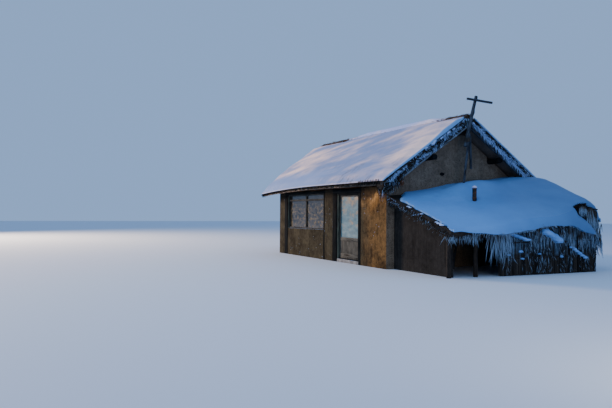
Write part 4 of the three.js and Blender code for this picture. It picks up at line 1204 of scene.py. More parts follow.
def make_ridge_snow():
    start, end = GABLE_X - 6.05, GABLE_X - 0.42

    def surface(y):
        return RIDGE_FLAT + ROLL_HEIGHT * math.sqrt(max(0.0, 1.0 - (y / ROLL_HALF_WIDTH) ** 2)) + SNOW_SEAT

    def place(u, v):
        x = start + (end - start) * u
        spread = smooth(start + 0.3, start + 1.3, x) * (1.0 - smooth(end - 1.0, end - 0.2, x))
        half = min(0.157, 0.118 + 0.03 * noise.noise((x * 1.3, 0.0, 7.0)) + 0.045 * spread)
        return x, half * (2.0 * v - 1.0)

    def top(x, y):
        middle = smooth(start, start + 1.5, x) * (1.0 - smooth(end - 0.8, end, x))
        bed = 0.010 + 0.082 * middle + 0.012 * noise.noise((x * 2.2, y * 6.0, 3.0))
        return surface(y) + max(0.003, bed * (1.0 - (y / 0.15) ** 2))

    slab = make_slab(200, 14, place, lambda x, y: surface(y) - 0.02, top)
    finish_piece(slab, "snow_ridge_cap", RIDGE_SNOW, ["snow_ridge"], angle=75.0)


make_ridge_snow()

# %% [markdown]
# ## The shed's snow
# The wind has drifted a deep dome over the lean-to's back half. It thins towards the front verge, hangs over the eave
# in a soft lip, and dips round the pipe. Depth tables by both directions follow the solid, and a quarter circle
# rounds the overhanging lips.

# %% Shed snow
SHED_REACH, SHED_DROP, SHED_RISE_BACK = 2.63, 0.86, 0.0625
SHED_FRONT, SHED_BACK = -2.38, 2.60
DEPTH_BY_Y = ([-2.38, -2.15, -1.5, -1.0, -0.36, 0.2, 1.0, 2.2, 2.44, 2.6],
              [0.025, 0.045, 0.090, 0.145, 0.260, 0.310, 0.350, 0.455, 0.430, 0.33])
DEPTH_BY_OUT = ([0.0, 0.45, 0.8, 1.27, 1.9, 2.28, 2.48, 2.63], [0.78, 1.04, 1.05, 0.88, 0.78, 0.6, 0.5, 0.4])
DEPTH_AT_BACK = ([0.0, 0.45, 0.8, 1.07, 1.41, 1.73, 2.04, 2.35, 2.52, 2.63],
                 [0.36, 0.475, 0.54, 0.572, 0.548, 0.508, 0.468, 0.44, 0.39, 0.33])
LIP_BY_Y = ([-2.38, -1.79, -0.88, 0.09, 0.43, 1.35, 1.60, 1.89, 2.20, 2.36, 2.47, 2.7],
            [1.13, 1.07, 1.03, 1.14, 1.22, 1.24, 1.18, 1.07, 1.01, 1.00, 1.38, 1.42])
LEDGE_BY_Y = ([1.60, 1.68, 1.80, 2.00, 2.16, 2.30, 2.42], [1.78, 1.56, 1.50, 1.40, 1.28, 1.13, 1.03])
POCKET_OUT = 2.54


def look_up(table, at):
    return float(np.interp(at, *table))


def shed_reed_top(out, y):
    return SHED_HEAD - (SHED_DROP / SHED_REACH) * out + SHED_RISE_BACK * (y - SHED_FRONT)


def roof_clearance(x, y):
    """The house's back roof corner hangs over the shed's snow, which stays below it."""
    if x > VERGE_X + 0.35 or y < 1.45:
        return 9.0
    under = EAVE_TOP + SLOPE * (HALF_SPAN - abs(y)) - REED_DROP - 0.11
    if y > 2.12:
        under = min(under, 2.212)
    free = 0.6 * smooth(VERGE_X + 0.01, VERGE_X + 0.14, x) + 0.6 * smooth(1.6, 1.45, y)
    return under + free


def shed_crown(out, y):
    depth = look_up(DEPTH_BY_Y, y) * look_up(DEPTH_BY_OUT, out)
    depth += 0.014 + (look_up(DEPTH_AT_BACK, out) - depth) * smooth(0.9, 2.2, y)
    depth += 0.175 * math.exp(-((out - 0.72) / 0.38) ** 2 - ((y + 0.15) / (0.72 if y < -0.15 else 1.2)) ** 2)
    depth += 0.012 * noise.noise((out * 1.9, y * 1.7, 2.0)) + 0.004 * noise.noise((out * 7.0, y * 7.0, 4.0))
    depth -= 0.035 * math.exp(-((out - 1.33) ** 2 + (y + 0.55) ** 2) / 0.16 ** 2)
    return shed_reed_top(out, y) + max(0.008, depth)


def reed_reach(y):
    """The reed mat's eave line, rounded off at the back corner."""
    return SHED_REACH - 0.21 * smooth(1.9, 2.6, y)


def lip_height(y):
    """How high the overhanging snow's lower rim lies."""
    return look_up(LIP_BY_Y, y) + 0.02 * noise.noise((y * 3.0, 8.0, 0.0))


def lip_end(y):
    """How far out the snow hangs over the eave."""
    return SHED_REACH + 0.115 - 0.16 * smooth(2.2, 2.5, y)


def shed_snow_top(x, y):
    out = x - GABLE_X
    lip = lip_height(y)
    start = 2.40 - 0.15 * smooth(1.4, 2.2, y)
    z = shed_crown(min(out, SHED_REACH), y)
    if out > start:
        crown = shed_crown(start, y)
        t = min(1.0, (out - start) / (lip_end(y) - start))
        z = min(z, lip + (crown - lip) * math.sqrt(1.0 - t * t))
    if y > 2.22:
        crown = shed_crown(min(out, SHED_REACH), 2.22)
        back_lip = shed_reed_top(out, SHED_BACK) - 0.13
        t = min(1.0, (y - 2.22) / 0.42)
        z = min(z, back_lip + (crown - back_lip) * math.sqrt(1.0 - t * t))
    bared = smooth(POCKET_OUT - 0.012, POCKET_OUT + 0.012, out) * smooth(1.62, 1.72, y)
    if bared > 0.0:
        t = min(1.0, max(0.0, (out - POCKET_OUT) / (lip_end(y) - POCKET_OUT)))
        ledge = lip + max(0.01, look_up(LEDGE_BY_Y, y) - lip) * math.sqrt(1.0 - t * t)
        z += (min(z, ledge) - z) * bared
    corner = smooth(0.68, 0.50, out + 1.15 * (y - SHED_FRONT) + 0.05 * noise.noise((out * 9.0, y * 9.0, 5.0)))
    z += (shed_reed_top(out, y) - 0.02 - z) * corner
    return min(z, roof_clearance(x, y))


def shed_snow_bottom(x, y):
    out = x - GABLE_X
    bed = min(shed_reed_top(out, y) + SNOW_SEAT, shed_snow_top(x, y) - 0.004)
    if y > SHED_BACK + 0.001:
        bed = min(bed, shed_reed_top(out, SHED_BACK) - 0.14)
    if out > reed_reach(y) + 0.004:
        bed = min(bed, lip_height(y) - 0.012)
    return bed


def shed_snow_place(u, v):
    y = float(np.interp(v, [0.0, 0.06, 0.78, 0.93, 0.935, 1.0], [-2.385, -2.30, 2.05, 2.598, 2.604, 2.64]))
    y += 0.05 * noise.noise((u * 17.0, 3.0, 0.0)) * max(0.0, 1.0 - v / 0.06)
    reach = reed_reach(y)
    out = float(np.interp(u, [0.0, 0.60, 0.88, 0.885, 1.0], [0.001, reach - 0.47, reach, reach + 0.006, lip_end(y)]))
    drawn_back = 0.11 * smooth(0.2, 0.7, out) * smooth(2.7, 2.2, out)
    return GABLE_X + out, y + drawn_back * max(0.0, 1.0 - v / 0.25)


finish_piece(make_slab(150, 180, shed_snow_place, shed_snow_bottom, shed_snow_top), "shed_snow_blanket",
             SHED_SNOW, ["shed_snow"], angle=80.0)

# %% [markdown]
# ## The shed's reed
# Under that snow lies a thinner mat of reed. It shows as a dark ragged line along the front verge, along
# the eave, and in the pocket at the back corner where the snow has fallen off.

# %% Shed reed
SHED_REED = 0.15


def make_shed_reed():
    def place(u, v):
        y = SHED_FRONT + (SHED_BACK - SHED_FRONT) * denser_at_ends(v, 0.10)
        return GABLE_X + 0.001 + (reed_reach(y) - 0.001) * denser_at_ends(u, 0.10), y

    def top(x, y):
        return min(shed_reed_top(x - GABLE_X, y), roof_clearance(x, y) - 0.012)

    def bottom(x, y):
        lumps = 0.022 * noise.noise((x * 8.0, y * 8.0, 6.0))
        return min(shed_reed_top(x - GABLE_X, y) - SHED_REED + lumps, top(x, y) - 0.02)

    slab = make_slab(70, 112, place, bottom, top)
    for vertex in slab.data.vertices:
        out = vertex.co.x - GABLE_X
        vertex.co.x += 0.03 * smooth(0.1, 0.0, reed_reach(vertex.co.y) - out) * noise.noise(vertex.co * 11.0)
        vertex.co.y += 0.03 * smooth(0.1, 0.0, vertex.co.y - SHED_FRONT) * noise.noise(vertex.co * 11.0)
    finish_piece(slab, "shed_reed_mat", REED, ["shed_thatch"])


make_shed_reed()

# %% [markdown]
# ## The shed's poles
# Unpeeled poles carry the shed: a ledger along the gable, a beam on four posts at the eave, rafters and
# battens. They are rough logs on the same axes as their solids.

# %% Shed poles
SHED_RAFTER = 0.030


def on_rafters(out, y):
    """The place on a rafter's axis this far out."""
    z = shed_reed_top(out, y) - SHED_REED - SHED_RAFTER * math.hypot(1.0, SHED_FALL) - POLE_GAP
    return GABLE_X + out, y, z


def axis_ends(node, along, reach):
    """Both ends of the axis of a straight solid that runs mostly along one axis (0, 1 or 2)."""
    points = np.array([vertex.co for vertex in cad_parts[node].data.vertices])
    low_end = points[points[:, along] < points[:, along].min() + reach].mean(axis=0)
    high_end = points[points[:, along] > points[:, along].max() - reach].mean(axis=0)
    return Vector(low_end), Vector(high_end)


def shed_pole(node, along, radius, tip, seed, **settings):
    log = make_log(*axis_ends(node, along, 0.004), radius, tip, seed, **settings)
    finish_piece(log, node + "_log", DARK_WOOD, [node], angle=50.0)


shed_pole("shed_ledger", 1, 0.060, 0.056, 101, bow=0.0)
shed_pole("shed_eave_beam", 1, 0.061, 0.057, 102, bow=0.0)
for number in range(1, 5):
    shed_pole(f"shed_post_{number}", 2, 0.056, 0.052, 110 + number, bow=0.15, knots=3)
poles = []
for k in range(8):
    y = -2.285 + 4.635 * k / 7
    poles.append(make_log(on_rafters(0.02, y), on_rafters(2.54, y), SHED_RAFTER, 0.027, 120 + k, sides=9, pitch=0.16,
                          bow=0.1))
for k, out in enumerate((0.5, 1.9)):
    poles.append(make_log(on_rafters(out, -2.285), on_rafters(out, 2.35), 0.020, 0.018, 130 + k, sides=7, pitch=0.2,
                          bow=0.0))
finish_piece(join_pieces(poles), "shed_rafter_poles", DARK_WOOD, ["shed_rafters"])

# %% [markdown]
# ## The stalk wall
# The shed's outer side and back are closed with bundled stalks set upright. Single stalks stand in front of a dark
# core, a near-black sheet that paints the shade in the gaps, so that every stem catches the light, and two thin poles
# bind them.

# %% Stalk wall
STALKS_FROM, STALKS_LENGTH = -0.79, 3.28


def stalk_head(out, y):
    return shed_reed_top(out, y) - 0.222


# The core is a near-black sheet: it paints the shade in the gaps between the stalks.
def make_wall_core():
    side = make_slab(2, 60, lambda u, v: (GABLE_X + 2.490 + 0.035 * u, STALKS_FROM + STALKS_LENGTH * v),
                     lambda x, y: 0.0, lambda x, y: stalk_head(x - GABLE_X, y))
    back = make_slab(50, 2, lambda u, v: (GABLE_X + 0.002 + 2.49 * u, 2.455 + 0.03 * v),
                     lambda x, y: 0.0, lambda x, y: stalk_head(x - GABLE_X, y))
    finish_piece(join_pieces([side, back]), "stalk_wall_core", REED, ["shed_stalk_wall"])


def stand_stalk(dice, out, y, lean_out, lean_along):
    """A stalk up to the reed, or in some cases shorter, that leans a little."""
    height = stalk_head(out, y) * dice.choice((1.0, 1.0, dice.uniform(0.6, 0.97)))
    lean = Vector((dice.uniform(-lean_out, lean_out), dice.uniform(-lean_along, lean_along), 1.0)).normalized()
    stalk = strand_at((GABLE_X + out, y, 0.0), lean, height, dice.uniform(0.006, 0.011), dice.uniform(0.0, math.tau))
    return stalk, dice.random()


make_wall_core()
dice = random.Random(5)
spots = []
for count, near, reach in ((520, 2.528, 0.024), (220, 2.462, 0.022)):
    for _ in range(count):
        y = STALKS_FROM + STALKS_LENGTH * dice.random()
        spots.append(stand_stalk(dice, near + reach * dice.random(), y, 0.012, 0.05))
for count, near in ((380, 2.490), (180, 2.440)):
    for _ in range(count):
        out = 0.02 + 2.50 * dice.random()
        spots.append(stand_stalk(dice, out, near + 0.016 * dice.random(), 0.05, 0.01))
finish_piece(scatter(STALK, spots), "stalk_wall_stems", STALK_STRAW)

binders = []
for k, height in enumerate((0.42, 0.80)):
    for low_end, high_end, seed in (((2.562, -0.78, height), (2.562, 2.50, height + 0.03), 140 + k),
                                    ((0.03, 2.520, height + 0.02), (2.53, 2.520, height + 0.04), 150 + k)):
        start, end = ((GABLE_X + out, y, z) for out, y, z in (low_end, high_end))
        binders.append(make_log(start, end, 0.012, 0.010, seed, sides=8, pitch=0.14, bow=0.2))
finish_piece(join_pieces(binders), "stalk_wall_binders", DARK_WOOD)

# %% [markdown]
# ## Hanging straw
# Long straw hangs from the shed's eave. It is sparse over the open mouth, thick and almost white where the
# stalk wall starts, and tangled over the wall itself. Strands are thickened unevenly, as frost does.

# %% Hanging straw at the eave and verge


def hang(spots, dice, count, y_span, out_span, drop_span, lengths, radii, tones, lean, spread):
    """Strands hang in bunches: a noise along the eave thins them out in between."""
    goal = len(spots) + count
    while len(spots) < goal:
        y, out = dice.uniform(*y_span), dice.uniform(*out_span)
        if noise.noise((y * 5.5, out * 2.0, 4.0)) < dice.uniform(-0.30, 0.35):
            continue
        root = (GABLE_X + out, y, shed_reed_top(out, min(y, SHED_BACK)) - dice.uniform(*drop_span))
        direction = Vector((dice.uniform(-0.04, lean), dice.uniform(-spread, spread), -1.0)).normalized()
        length = min(dice.uniform(*lengths), root[2] - 0.03)
        if length > 0.06:
            strand = strand_at(root, direction, length, dice.uniform(*radii), dice.uniform(0.0, math.tau))
            spots.append((strand, dice.uniform(*tones)))


BUNCHES = (
    (210, (-2.37, -0.9), (2.50, 2.63), (0.04, 0.15), (0.08, 0.26), (0.003, 0.006), (0.0, 0.8), 0.15, 0.6),
    (60, (-2.37, -1.5), (2.40, 2.62), (0.08, 0.15), (0.16, 0.36), (0.004, 0.007), (0.5, 1.0), 0.20, 0.9),
    (9, (-1.74, -1.60), (2.55, 2.62), (0.05, 0.12), (0.26, 0.36), (0.008, 0.013), (1.6, 2.2), 0.03, 0.06),
    (125, (-1.20, -0.50), (2.56, 2.70), (0.04, 0.16), (0.26, 0.85), (0.004, 0.010), (0.4, 2.0), 0.08, 0.26),
    (250, (-0.70, 1.30), (2.56, 2.66), (0.06, 0.35), (0.12, 0.42), (0.004, 0.009), (0.1, 1.1), 0.30, 0.35),
    (240, (-0.70, 2.50), (2.56, 2.63), (0.40, 1.25), (0.08, 0.32), (0.003, 0.008), (0.0, 0.8), 0.35, 0.45),
    (150, (1.40, 2.62), (2.54, 2.64), (0.05, 0.40), (0.22, 0.62), (0.004, 0.009), (0.1, 1.1), 0.10, 0.15),
    (170, (2.45, 2.68), (2.30, 2.68), (0.05, 0.70), (0.15, 0.50), (0.006, 0.013), (0.6, 1.4), 0.25, 0.35),
)
dice = random.Random(9)
spots = []
for bunch in BUNCHES:
    hang(spots, dice, *bunch)
for _ in range(420):
    y = dice.choice((dice.uniform(-1.9, 0.6), dice.uniform(-0.9, 0.6), dice.uniform(-1.0, 2.3)))
    direction = (dice.uniform(0.0, 0.5), dice.uniform(-0.7, 0.7), -dice.uniform(0.2, 1.0))
    root = (GABLE_X + dice.uniform(2.66, 2.735), y, look_up(LIP_BY_Y, y) + dice.uniform(-0.02, 0.045))
    spots.append(grow(dice, root, direction, (0.03, 0.09), (0.004, 0.009), (1.2, 2.4)))
finish_piece(scatter(PLUME, spots), "eave_fringe", FROST_STRAW, ["shed_fringe"])

spots = []
for _ in range(520):
    out = dice.uniform(0.05, 2.60)
    y = SHED_FRONT - dice.uniform(-0.03, 0.01)
    root = (GABLE_X + out, y, shed_reed_top(out, y) - dice.uniform(0.0, 0.15))
    direction = (dice.uniform(-0.25, 0.45), -dice.uniform(0.1, 0.7), -dice.uniform(0.5, 1.0))
    spots.append(grow(dice, root, direction, (0.05, 0.15), (0.003, 0.006), (0.0, 0.9)))
finish_piece(scatter(BLADE, spots), "shed_verge_straw", VERGE_STRAW)

# %% [markdown]
# ## Snow caught in the straw
# Snow that slid off the shed lies in cushions on the tangled straw. Lumps from one round primitive overlap,
# and a voxel remesh melts them into soft masses.

# %% Snow cushions


def make_lump(at, size, seed, tilt=0.0):
    deselect_all()
    bpy.ops.mesh.primitive_ico_sphere_add(subdivisions=4, radius=1.0, location=(0.0, 0.0, 0.0))
    lump = bpy.context.object
    for vertex in lump.data.vertices:
        p = vertex.co.copy()
        bulge = 1.0 + 0.22 * noise.noise(p * 1.4 + Vector((seed * 3.7, 0.0, 0.0)))
        p *= bulge
        p.z = max(p.z, -0.45 + 0.12 * noise.noise(p * 3.0))
        vertex.co = Vector(at) + Matrix.Rotation(tilt, 3, "X") @ Vector((p.x * size[0], p.y * size[1], p.z * size[2]))
    return lump


def melt(lumps, voxel):
    mass = join_pieces(lumps)
    apply_modifier(mass, "REMESH", mode="VOXEL", voxel_size=voxel)
    apply_modifier(mass, "SMOOTH", factor=0.6, iterations=6)
    return mass


def wall_cushions():
    lumps = []
    dice = random.Random(31)
    outer = GABLE_X + 2.60
    for k in range(8):
        t = k / 7.0
        at = (outer + 0.040, 0.52 + 0.50 * t, 1.06 - 0.23 * t ** 1.3)
        lumps.append(make_lump(at, (0.12, 0.115, 0.085 + 0.02 * (k % 2)), k))
    for k in range(5):
        lumps.append(make_lump((outer + 0.02, -0.52 + 0.12 * k, 1.01 - 0.035 * k), (0.10, 0.10, 0.045), 20 + k))
    for k in range(6):
        at = (outer + 0.01, 1.52 + 0.10 * k, 0.66 - 0.055 * k)
        lumps.append(make_lump(at, (0.055, 0.075, 0.040 + 0.012 * (k % 2)), 60 + k))
    for k in range(5):
        y = dice.uniform(-0.6, 1.3)
        at = (outer + dice.uniform(-0.02, 0.01), y, dice.uniform(0.35, 0.75))
        size = (dice.uniform(0.04, 0.06), dice.uniform(0.04, 0.07), dice.uniform(0.03, 0.05))
        lumps.append(make_lump(at, size, 40 + k))
    return lumps


finish_piece(melt(wall_cushions(), 0.014), "straw_snow_cushions", CLUMP_SNOW, angle=80.0)

# %% [markdown]
# Smaller cushions sit in a broken row along the back slope's verge, where the reed's edge caught them, and
# a few hang at the top of the front verge and along the shed's own front verge. Frost combs hang below.

# %% Cushions on the verge


def verge_cushions():
    dice = random.Random(8)
    lumps = []
    y = 0.12
    while y < 2.30:
        low, high = reed_face(IN_VERGE, y)
        z = low + (high - low) * (0.50 - 0.08 * y + dice.uniform(-0.14, 0.14))
        size = dice.uniform(0.6, 1.15) * (1.15 - 0.25 * y)
        lumps.append(make_lump((VERGE_X + 0.045, y, z), (0.036 * size, 0.052 * size, 0.022 * size),
                               len(lumps) + 90, -0.60))
        y += dice.choice((0.08, 0.12, 0.16, 0.24))
    for k in range(8):
        y = -dice.uniform(0.25, 1.6)
        low, high = reed_face(IN_VERGE, y)
        size = dice.uniform(0.5, 0.9)
        lumps.append(make_lump((VERGE_X + 0.030, y, low + (high - low) * dice.uniform(0.75, 1.0)),
                               (0.04 * size, 0.08 * size, 0.035 * size), k + 130, 0.60))
    for k, out in enumerate((0.95, 1.04, 1.52, 2.10, 2.20, 2.31)):
        size = dice.uniform(0.6, 1.1)
        at = (GABLE_X + out, -2.375, 1.985 - SHED_FALL * out)
        lumps.append(make_lump(at, (0.08 * size, 0.040 * size, 0.024 * size), k + 160))
    return lumps


finish_piece(melt(verge_cushions(), 0.009), "verge_snow_cushions", VERGE_SNOW, angle=80.0)
dice = random.Random(17)
combs = []
for _ in range(460):
    y = 0.08 + 2.45 * dice.random()
    low, high = reed_face(IN_VERGE, y)
    bunch = 0.10 * noise.noise((y * 6.0, 2.0, 0.0))
    root = (VERGE_X + dice.uniform(0.05, 0.09), y,
            low + (high - low) * (0.40 - 0.08 * y + bunch + dice.uniform(-0.22, 0.10)))
    direction = (dice.uniform(0.0, 0.15), dice.uniform(-0.2, 0.9), -1.0)
    combs.append(grow(dice, root, direction, (0.05, 0.20), (0.003, 0.006), (0.0, 1.6)))
finish_piece(scatter(PLUME, combs), "verge_frost_combs", FLECK_STRAW)

# %% [markdown]
# ## The bared corner
# High at the back corner the snow has dropped out of its own side. A dark rim of reed and pole ends hooks over the
# pocket, straw hangs from it like a curtain, dense and near black, which paints the shade under the rim, and the
# snow's lip runs out in a tongue below.

# %% Bared corner
RIM_BY_Y = ([1.62, 1.69, 1.82, 2.02, 2.12, 2.30, 2.50], [1.58, 1.68, 1.735, 1.765, 1.71, 1.67, 1.60])


def curtain(dice, count, y_span, out_span, lengths, radii, tones, spread=0.10):
    spots = []
    for _ in range(count):
        y = dice.uniform(*y_span)
        root = (GABLE_X + dice.uniform(*out_span), y, look_up(RIM_BY_Y, y) - 0.04 * dice.random())
        direction = (dice.uniform(-0.03, 0.10), dice.uniform(-spread, spread), -1.0)
        spots.append(grow(dice, root, direction, lengths, radii, tones))
    return spots


dice = random.Random(13)
# Dense near-black straw: painted shade under the rim of the pocket.
spots = curtain(dice, 380, (1.66, 2.38), (2.55, 2.575), (0.18, 0.50), (0.005, 0.010), (0.0, 0.35))
for _ in range(240):
    y = 1.64 + 0.66 * dice.random()
    here, ahead = look_up(RIM_BY_Y, y), look_up(RIM_BY_Y, y + 0.1)
    direction = (dice.uniform(-0.1, 0.3), 1.0, (ahead - here) * 10.0 + dice.uniform(-0.25, 0.15))
    root = (GABLE_X + dice.uniform(2.53, 2.60), y - 0.05, here + dice.uniform(-0.03, 0.02))
    spots.append(grow(dice, root, direction, (0.08, 0.20), (0.006, 0.011), (0.0, 0.3)))
finish_piece(scatter(BLADE, spots), "bared_corner_straw", VERGE_STRAW)
spots = curtain(dice, 75, (1.82, 2.15), (2.58, 2.61), (0.14, 0.34), (0.004, 0.008), (0.7, 1.3))
spots += curtain(dice, 150, (2.10, 2.44), (2.56, 2.63), (0.30, 0.80), (0.005, 0.010), (0.1, 1.0), 0.14)
finish_piece(scatter(PLUME, spots), "bared_corner_frost", FROST_STRAW)
ends = [make_log((GABLE_X + 2.50, 1.90, 1.715), (GABLE_X + 2.61, 2.48, 1.640), 0.020, 0.015, 160, sides=10, bow=0.2),
        make_log((GABLE_X + 2.48, 2.00, 1.700), (GABLE_X + 2.60, 2.06, 1.790), 0.030, 0.024, 161, sides=10, bow=0.0),
        make_log((GABLE_X + 2.53, 1.67, 1.520), (GABLE_X + 2.56, 1.76, 1.700), 0.030, 0.024, 162, sides=10, bow=0.0)]
finish_piece(join_pieces(ends), "bared_pole_ends", DARK_WOOD, angle=50.0)

# %% [markdown]
# ## Window and door timbers
# Heavy hewn posts and lintels frame both openings, with sawn frames inside them. Boards replace the plain
# solids, so that joints, worn edges and grain show.

# %% Surrounds and window frames


def make_surround(node, left_post, right_post, head, seed):
    low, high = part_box(node)
    pieces = [make_board((low.x, low.y, 0.0), (low.x + left_post, high.y, head - 0.001), 0.012, seed, 0.010),
              make_board((high.x - right_post, low.y, 0.0), (high.x, high.y, head - 0.001), 0.012, seed + 1, 0.008),
              make_board((low.x, low.y, head), (high.x, high.y, high.z), 0.014, seed + 2, 0.010)]
    finish_piece(join_pieces(pieces), node + "_timbers", HEWN_WOOD, [node], angle=50.0)


make_surround("window_surround", 0.29, 0.08, 2.13, 200)
make_surround("door_surround", 0.28, 0.12, 2.095, 210)


def make_sash(node, columns, bar, border, transom, material, seed):
    """A frame of four boards, upright bars between the panes, and a cross bar if a transom height is given."""
    low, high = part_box(node)
    left, right, foot, head = low.x + border, high.x - border, low.z + border, high.z - border
    pieces = [make_board(low, (left, high.y, high.z), 0.004, seed, 0.002),
              make_board((right, low.y, low.z), high, 0.004, seed + 1, 0.002),
              make_board((left, low.y, low.z), (right, high.y, foot), 0.004, seed + 2, 0.002),
              make_board((left, low.y, head), (right, high.y, high.z), 0.004, seed + 3, 0.002)]
    width = (high.x - low.x - 2.0 * border - (columns - 1) * bar) / columns
    front, back = low.y + 0.006, high.y - 0.006
    for k in range(1, columns):
        x = left + k * width + (k - 1) * bar
        pieces.append(make_board((x, front, foot), (x + bar, back, head), 0.005, seed + 4 + k, 0.001))
    if transom:
        pieces.append(make_board((left, front + 0.002, transom - bar / 2.0),
                                 (right, back - 0.002, transom + bar / 2.0), 0.005, seed + 9, 0.001))
    finish_piece(join_pieces(pieces), node + "_sash", material, [node], angle=50.0)


make_sash("window_frame", 2, 0.055, 0.050, 1.930, SASH_WOOD, 220)
WINDOW_LOW, WINDOW_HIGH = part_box("window_frame")
# The window's left lining is the paler jamb wood: painted skylight on the left reveal.
lining = make_board((WINDOW_LOW.x + 0.0005, -2.395, WINDOW_LOW.z + 0.001),
                    (WINDOW_LOW.x + 0.020, WINDOW_LOW.y - 0.0005, WINDOW_HIGH.z - 0.001), 0.003, 232, 0.001)
finish_piece(lining, "window_left_lining", SKYLIT_JAMB_WOOD, angle=50.0)
make_sash("back_window_frame_1", 2, 0.045, 0.055, 0.0, SASH_WOOD, 240)
make_sash("back_window_frame_2", 2, 0.045, 0.055, 0.0, SASH_WOOD, 250)

# %% [markdown]
# ## The door
# The door opens inwards on two hinges. Its frame has a stop on the outside. The leaf is a joiner's frame
# of stiles and rails, with one tall pane over upright boards, and all of it rides with the leaf's body.

# %% Door frame and leaf
FRAME_LOW, FRAME_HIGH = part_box("door_frame")
JAMB, STOP, STOP_Y, THRESHOLD = 0.045, 0.015, -2.338, 0.120
left, right, head = FRAME_LOW.x + JAMB, FRAME_HIGH.x - JAMB, FRAME_HIGH.z - JAMB
jambs = [make_board(FRAME_LOW, (left, FRAME_HIGH.y, FRAME_HIGH.z), 0.004, 260, 0.0),
         make_board((right, FRAME_LOW.y, FRAME_LOW.z), FRAME_HIGH, 0.004, 261, 0.0),
         make_board((left, FRAME_LOW.y, head), (right, FRAME_HIGH.y, FRAME_HIGH.z), 0.004, 262, 0.0),
         make_board((left, FRAME_LOW.y, FRAME_LOW.z), (right, FRAME_HIGH.y, 0.1195), 0.006, 263, 0.0),
         make_board((left, FRAME_LOW.y, THRESHOLD), (left + STOP, STOP_Y, head), 0.003, 264),
         make_board((right - STOP, FRAME_LOW.y, THRESHOLD), (right, STOP_Y, head), 0.003, 265),
         make_board((left + STOP, FRAME_LOW.y, head - STOP), (right - STOP, STOP_Y, head), 0.003, 266)]
# The left jamb and its stop are the paler jamb wood: painted skylight on the left reveal.
left_jamb = join_pieces([jambs.pop(4), jambs.pop(0)])
finish_piece(left_jamb, "door_left_jamb", SKYLIT_JAMB_WOOD, ["door_frame"], angle=50.0)
finish_piece(join_pieces(jambs), "door_frame_boards", HEWN_WOOD, ["door_frame"], angle=50.0)

LEAF_LOW, LEAF_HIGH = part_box("door_leaf")
STILE, RAIL, FOOT_RAIL, PANE_FOOT, PLANKS = 0.060, 0.11, 0.15, 0.760, 9


def leaf_board(x0, x1, z0, z1, seed, thinner=0.0):
    return make_board((x0, LEAF_LOW.y + thinner, z0), (x1, LEAF_HIGH.y - thinner, z1), 0.003, seed, 0.0)


inner_left, inner_right = LEAF_LOW.x + STILE, LEAF_HIGH.x - STILE
leaf = [leaf_board(LEAF_LOW.x, inner_left, LEAF_LOW.z, LEAF_HIGH.z, 270),
        leaf_board(inner_right, LEAF_HIGH.x, LEAF_LOW.z, LEAF_HIGH.z, 271),
        leaf_board(inner_left, inner_right, LEAF_HIGH.z - STILE, LEAF_HIGH.z, 272),
        leaf_board(inner_left, inner_right, PANE_FOOT - RAIL, PANE_FOOT, 273),
        leaf_board(inner_left, inner_right, LEAF_LOW.z, LEAF_LOW.z + FOOT_RAIL, 274)]
plank = (inner_right - inner_left) / PLANKS
for k in range(PLANKS):
    leaf.append(leaf_board(inner_left + plank * k, inner_left + plank * (k + 1) - 0.002, LEAF_LOW.z + FOOT_RAIL,
                           PANE_FOOT - RAIL, 280 + k, 0.008))
finish_piece(join_pieces(leaf), "door_leaf_joinery", DOOR_WOOD, ["door_leaf"], "door", 50.0)

# %% [markdown]
# ## Iron
# The handle, the hinges and the stovepipe are old iron, dark with rust in patches. One group mixes them.

# %% Iron group and material


def build_rust_group():
    group, given, result = new_group("rusted_iron", [("Vector", VECTOR, (0, 0, 0)), ("Iron", COLOUR, (0, 0, 0, 1)),
                                                     ("Rust", COLOUR, (1, 1, 1, 1)), ("Spread", NUMBER, 0.5)],
                                     [("Color", COLOUR), ("Height", NUMBER), ("Roughness", NUMBER)])
    blotches = noise_value(group, given["Vector"], 16.0, 6.0, 0.65)
    grit = noise_value(group, given["Vector"], 180.0, 3.0)
    mask = remap(group, calc(group, "ADD", blotches, calc(group, "MULTIPLY", given["Spread"], 0.3)), 0.55, 0.72)
    tinted = blend_colours(group, grit, given["Rust"], (0.22, 0.085, 0.03, 1.0))
    group.links.new(blend_colours(group, mask, given["Iron"], tinted), result["Color"])
    group.links.new(weigh(group, mask, 0.5, grit, 0.5), result["Height"])
    group.links.new(remap(group, mask, 0.0, 1.0, 0.45, 0.9), result["Roughness"])
    return group


RUSTED = build_rust_group()


def iron_material(name, iron, rust, spread, frost):
    material, tree, shader = new_material(name, 0.6, 0.4)
    shader.inputs["Metallic"].default_value = 0.5
    where = object_place(tree)
    metal = place_group(tree, RUSTED, {"Vector": where, "Iron": (*iron, 1.0), "Rust": (*rust, 1.0), "Spread": spread})
    tree.links.new(frost_over(tree, where, metal["Color"], frost, 30.0, 0.4), shader.inputs["Base Color"])
    tree.links.new(metal["Roughness"], shader.inputs["Roughness"])
    add_bump(tree, shader, metal["Height"], 0.5, 0.002)
    return material


IRON = iron_material("door_iron", (0.03, 0.03, 0.032), (0.09, 0.035, 0.015), 0.4, -0.1)
PIPE_IRON = iron_material("sooty_pipe", (0.012, 0.011, 0.012), (0.075, 0.025, 0.014), 0.35, 0.0)
print("iron materials:", IRON.name, PIPE_IRON.name)

# %% [markdown]
# The handle is a round bar on two bolts, the same on both faces, over small round plates. Each hinge has
# two plates with three screws and a knuckle of two barrels on one pin line.

# %% Handle and hinges


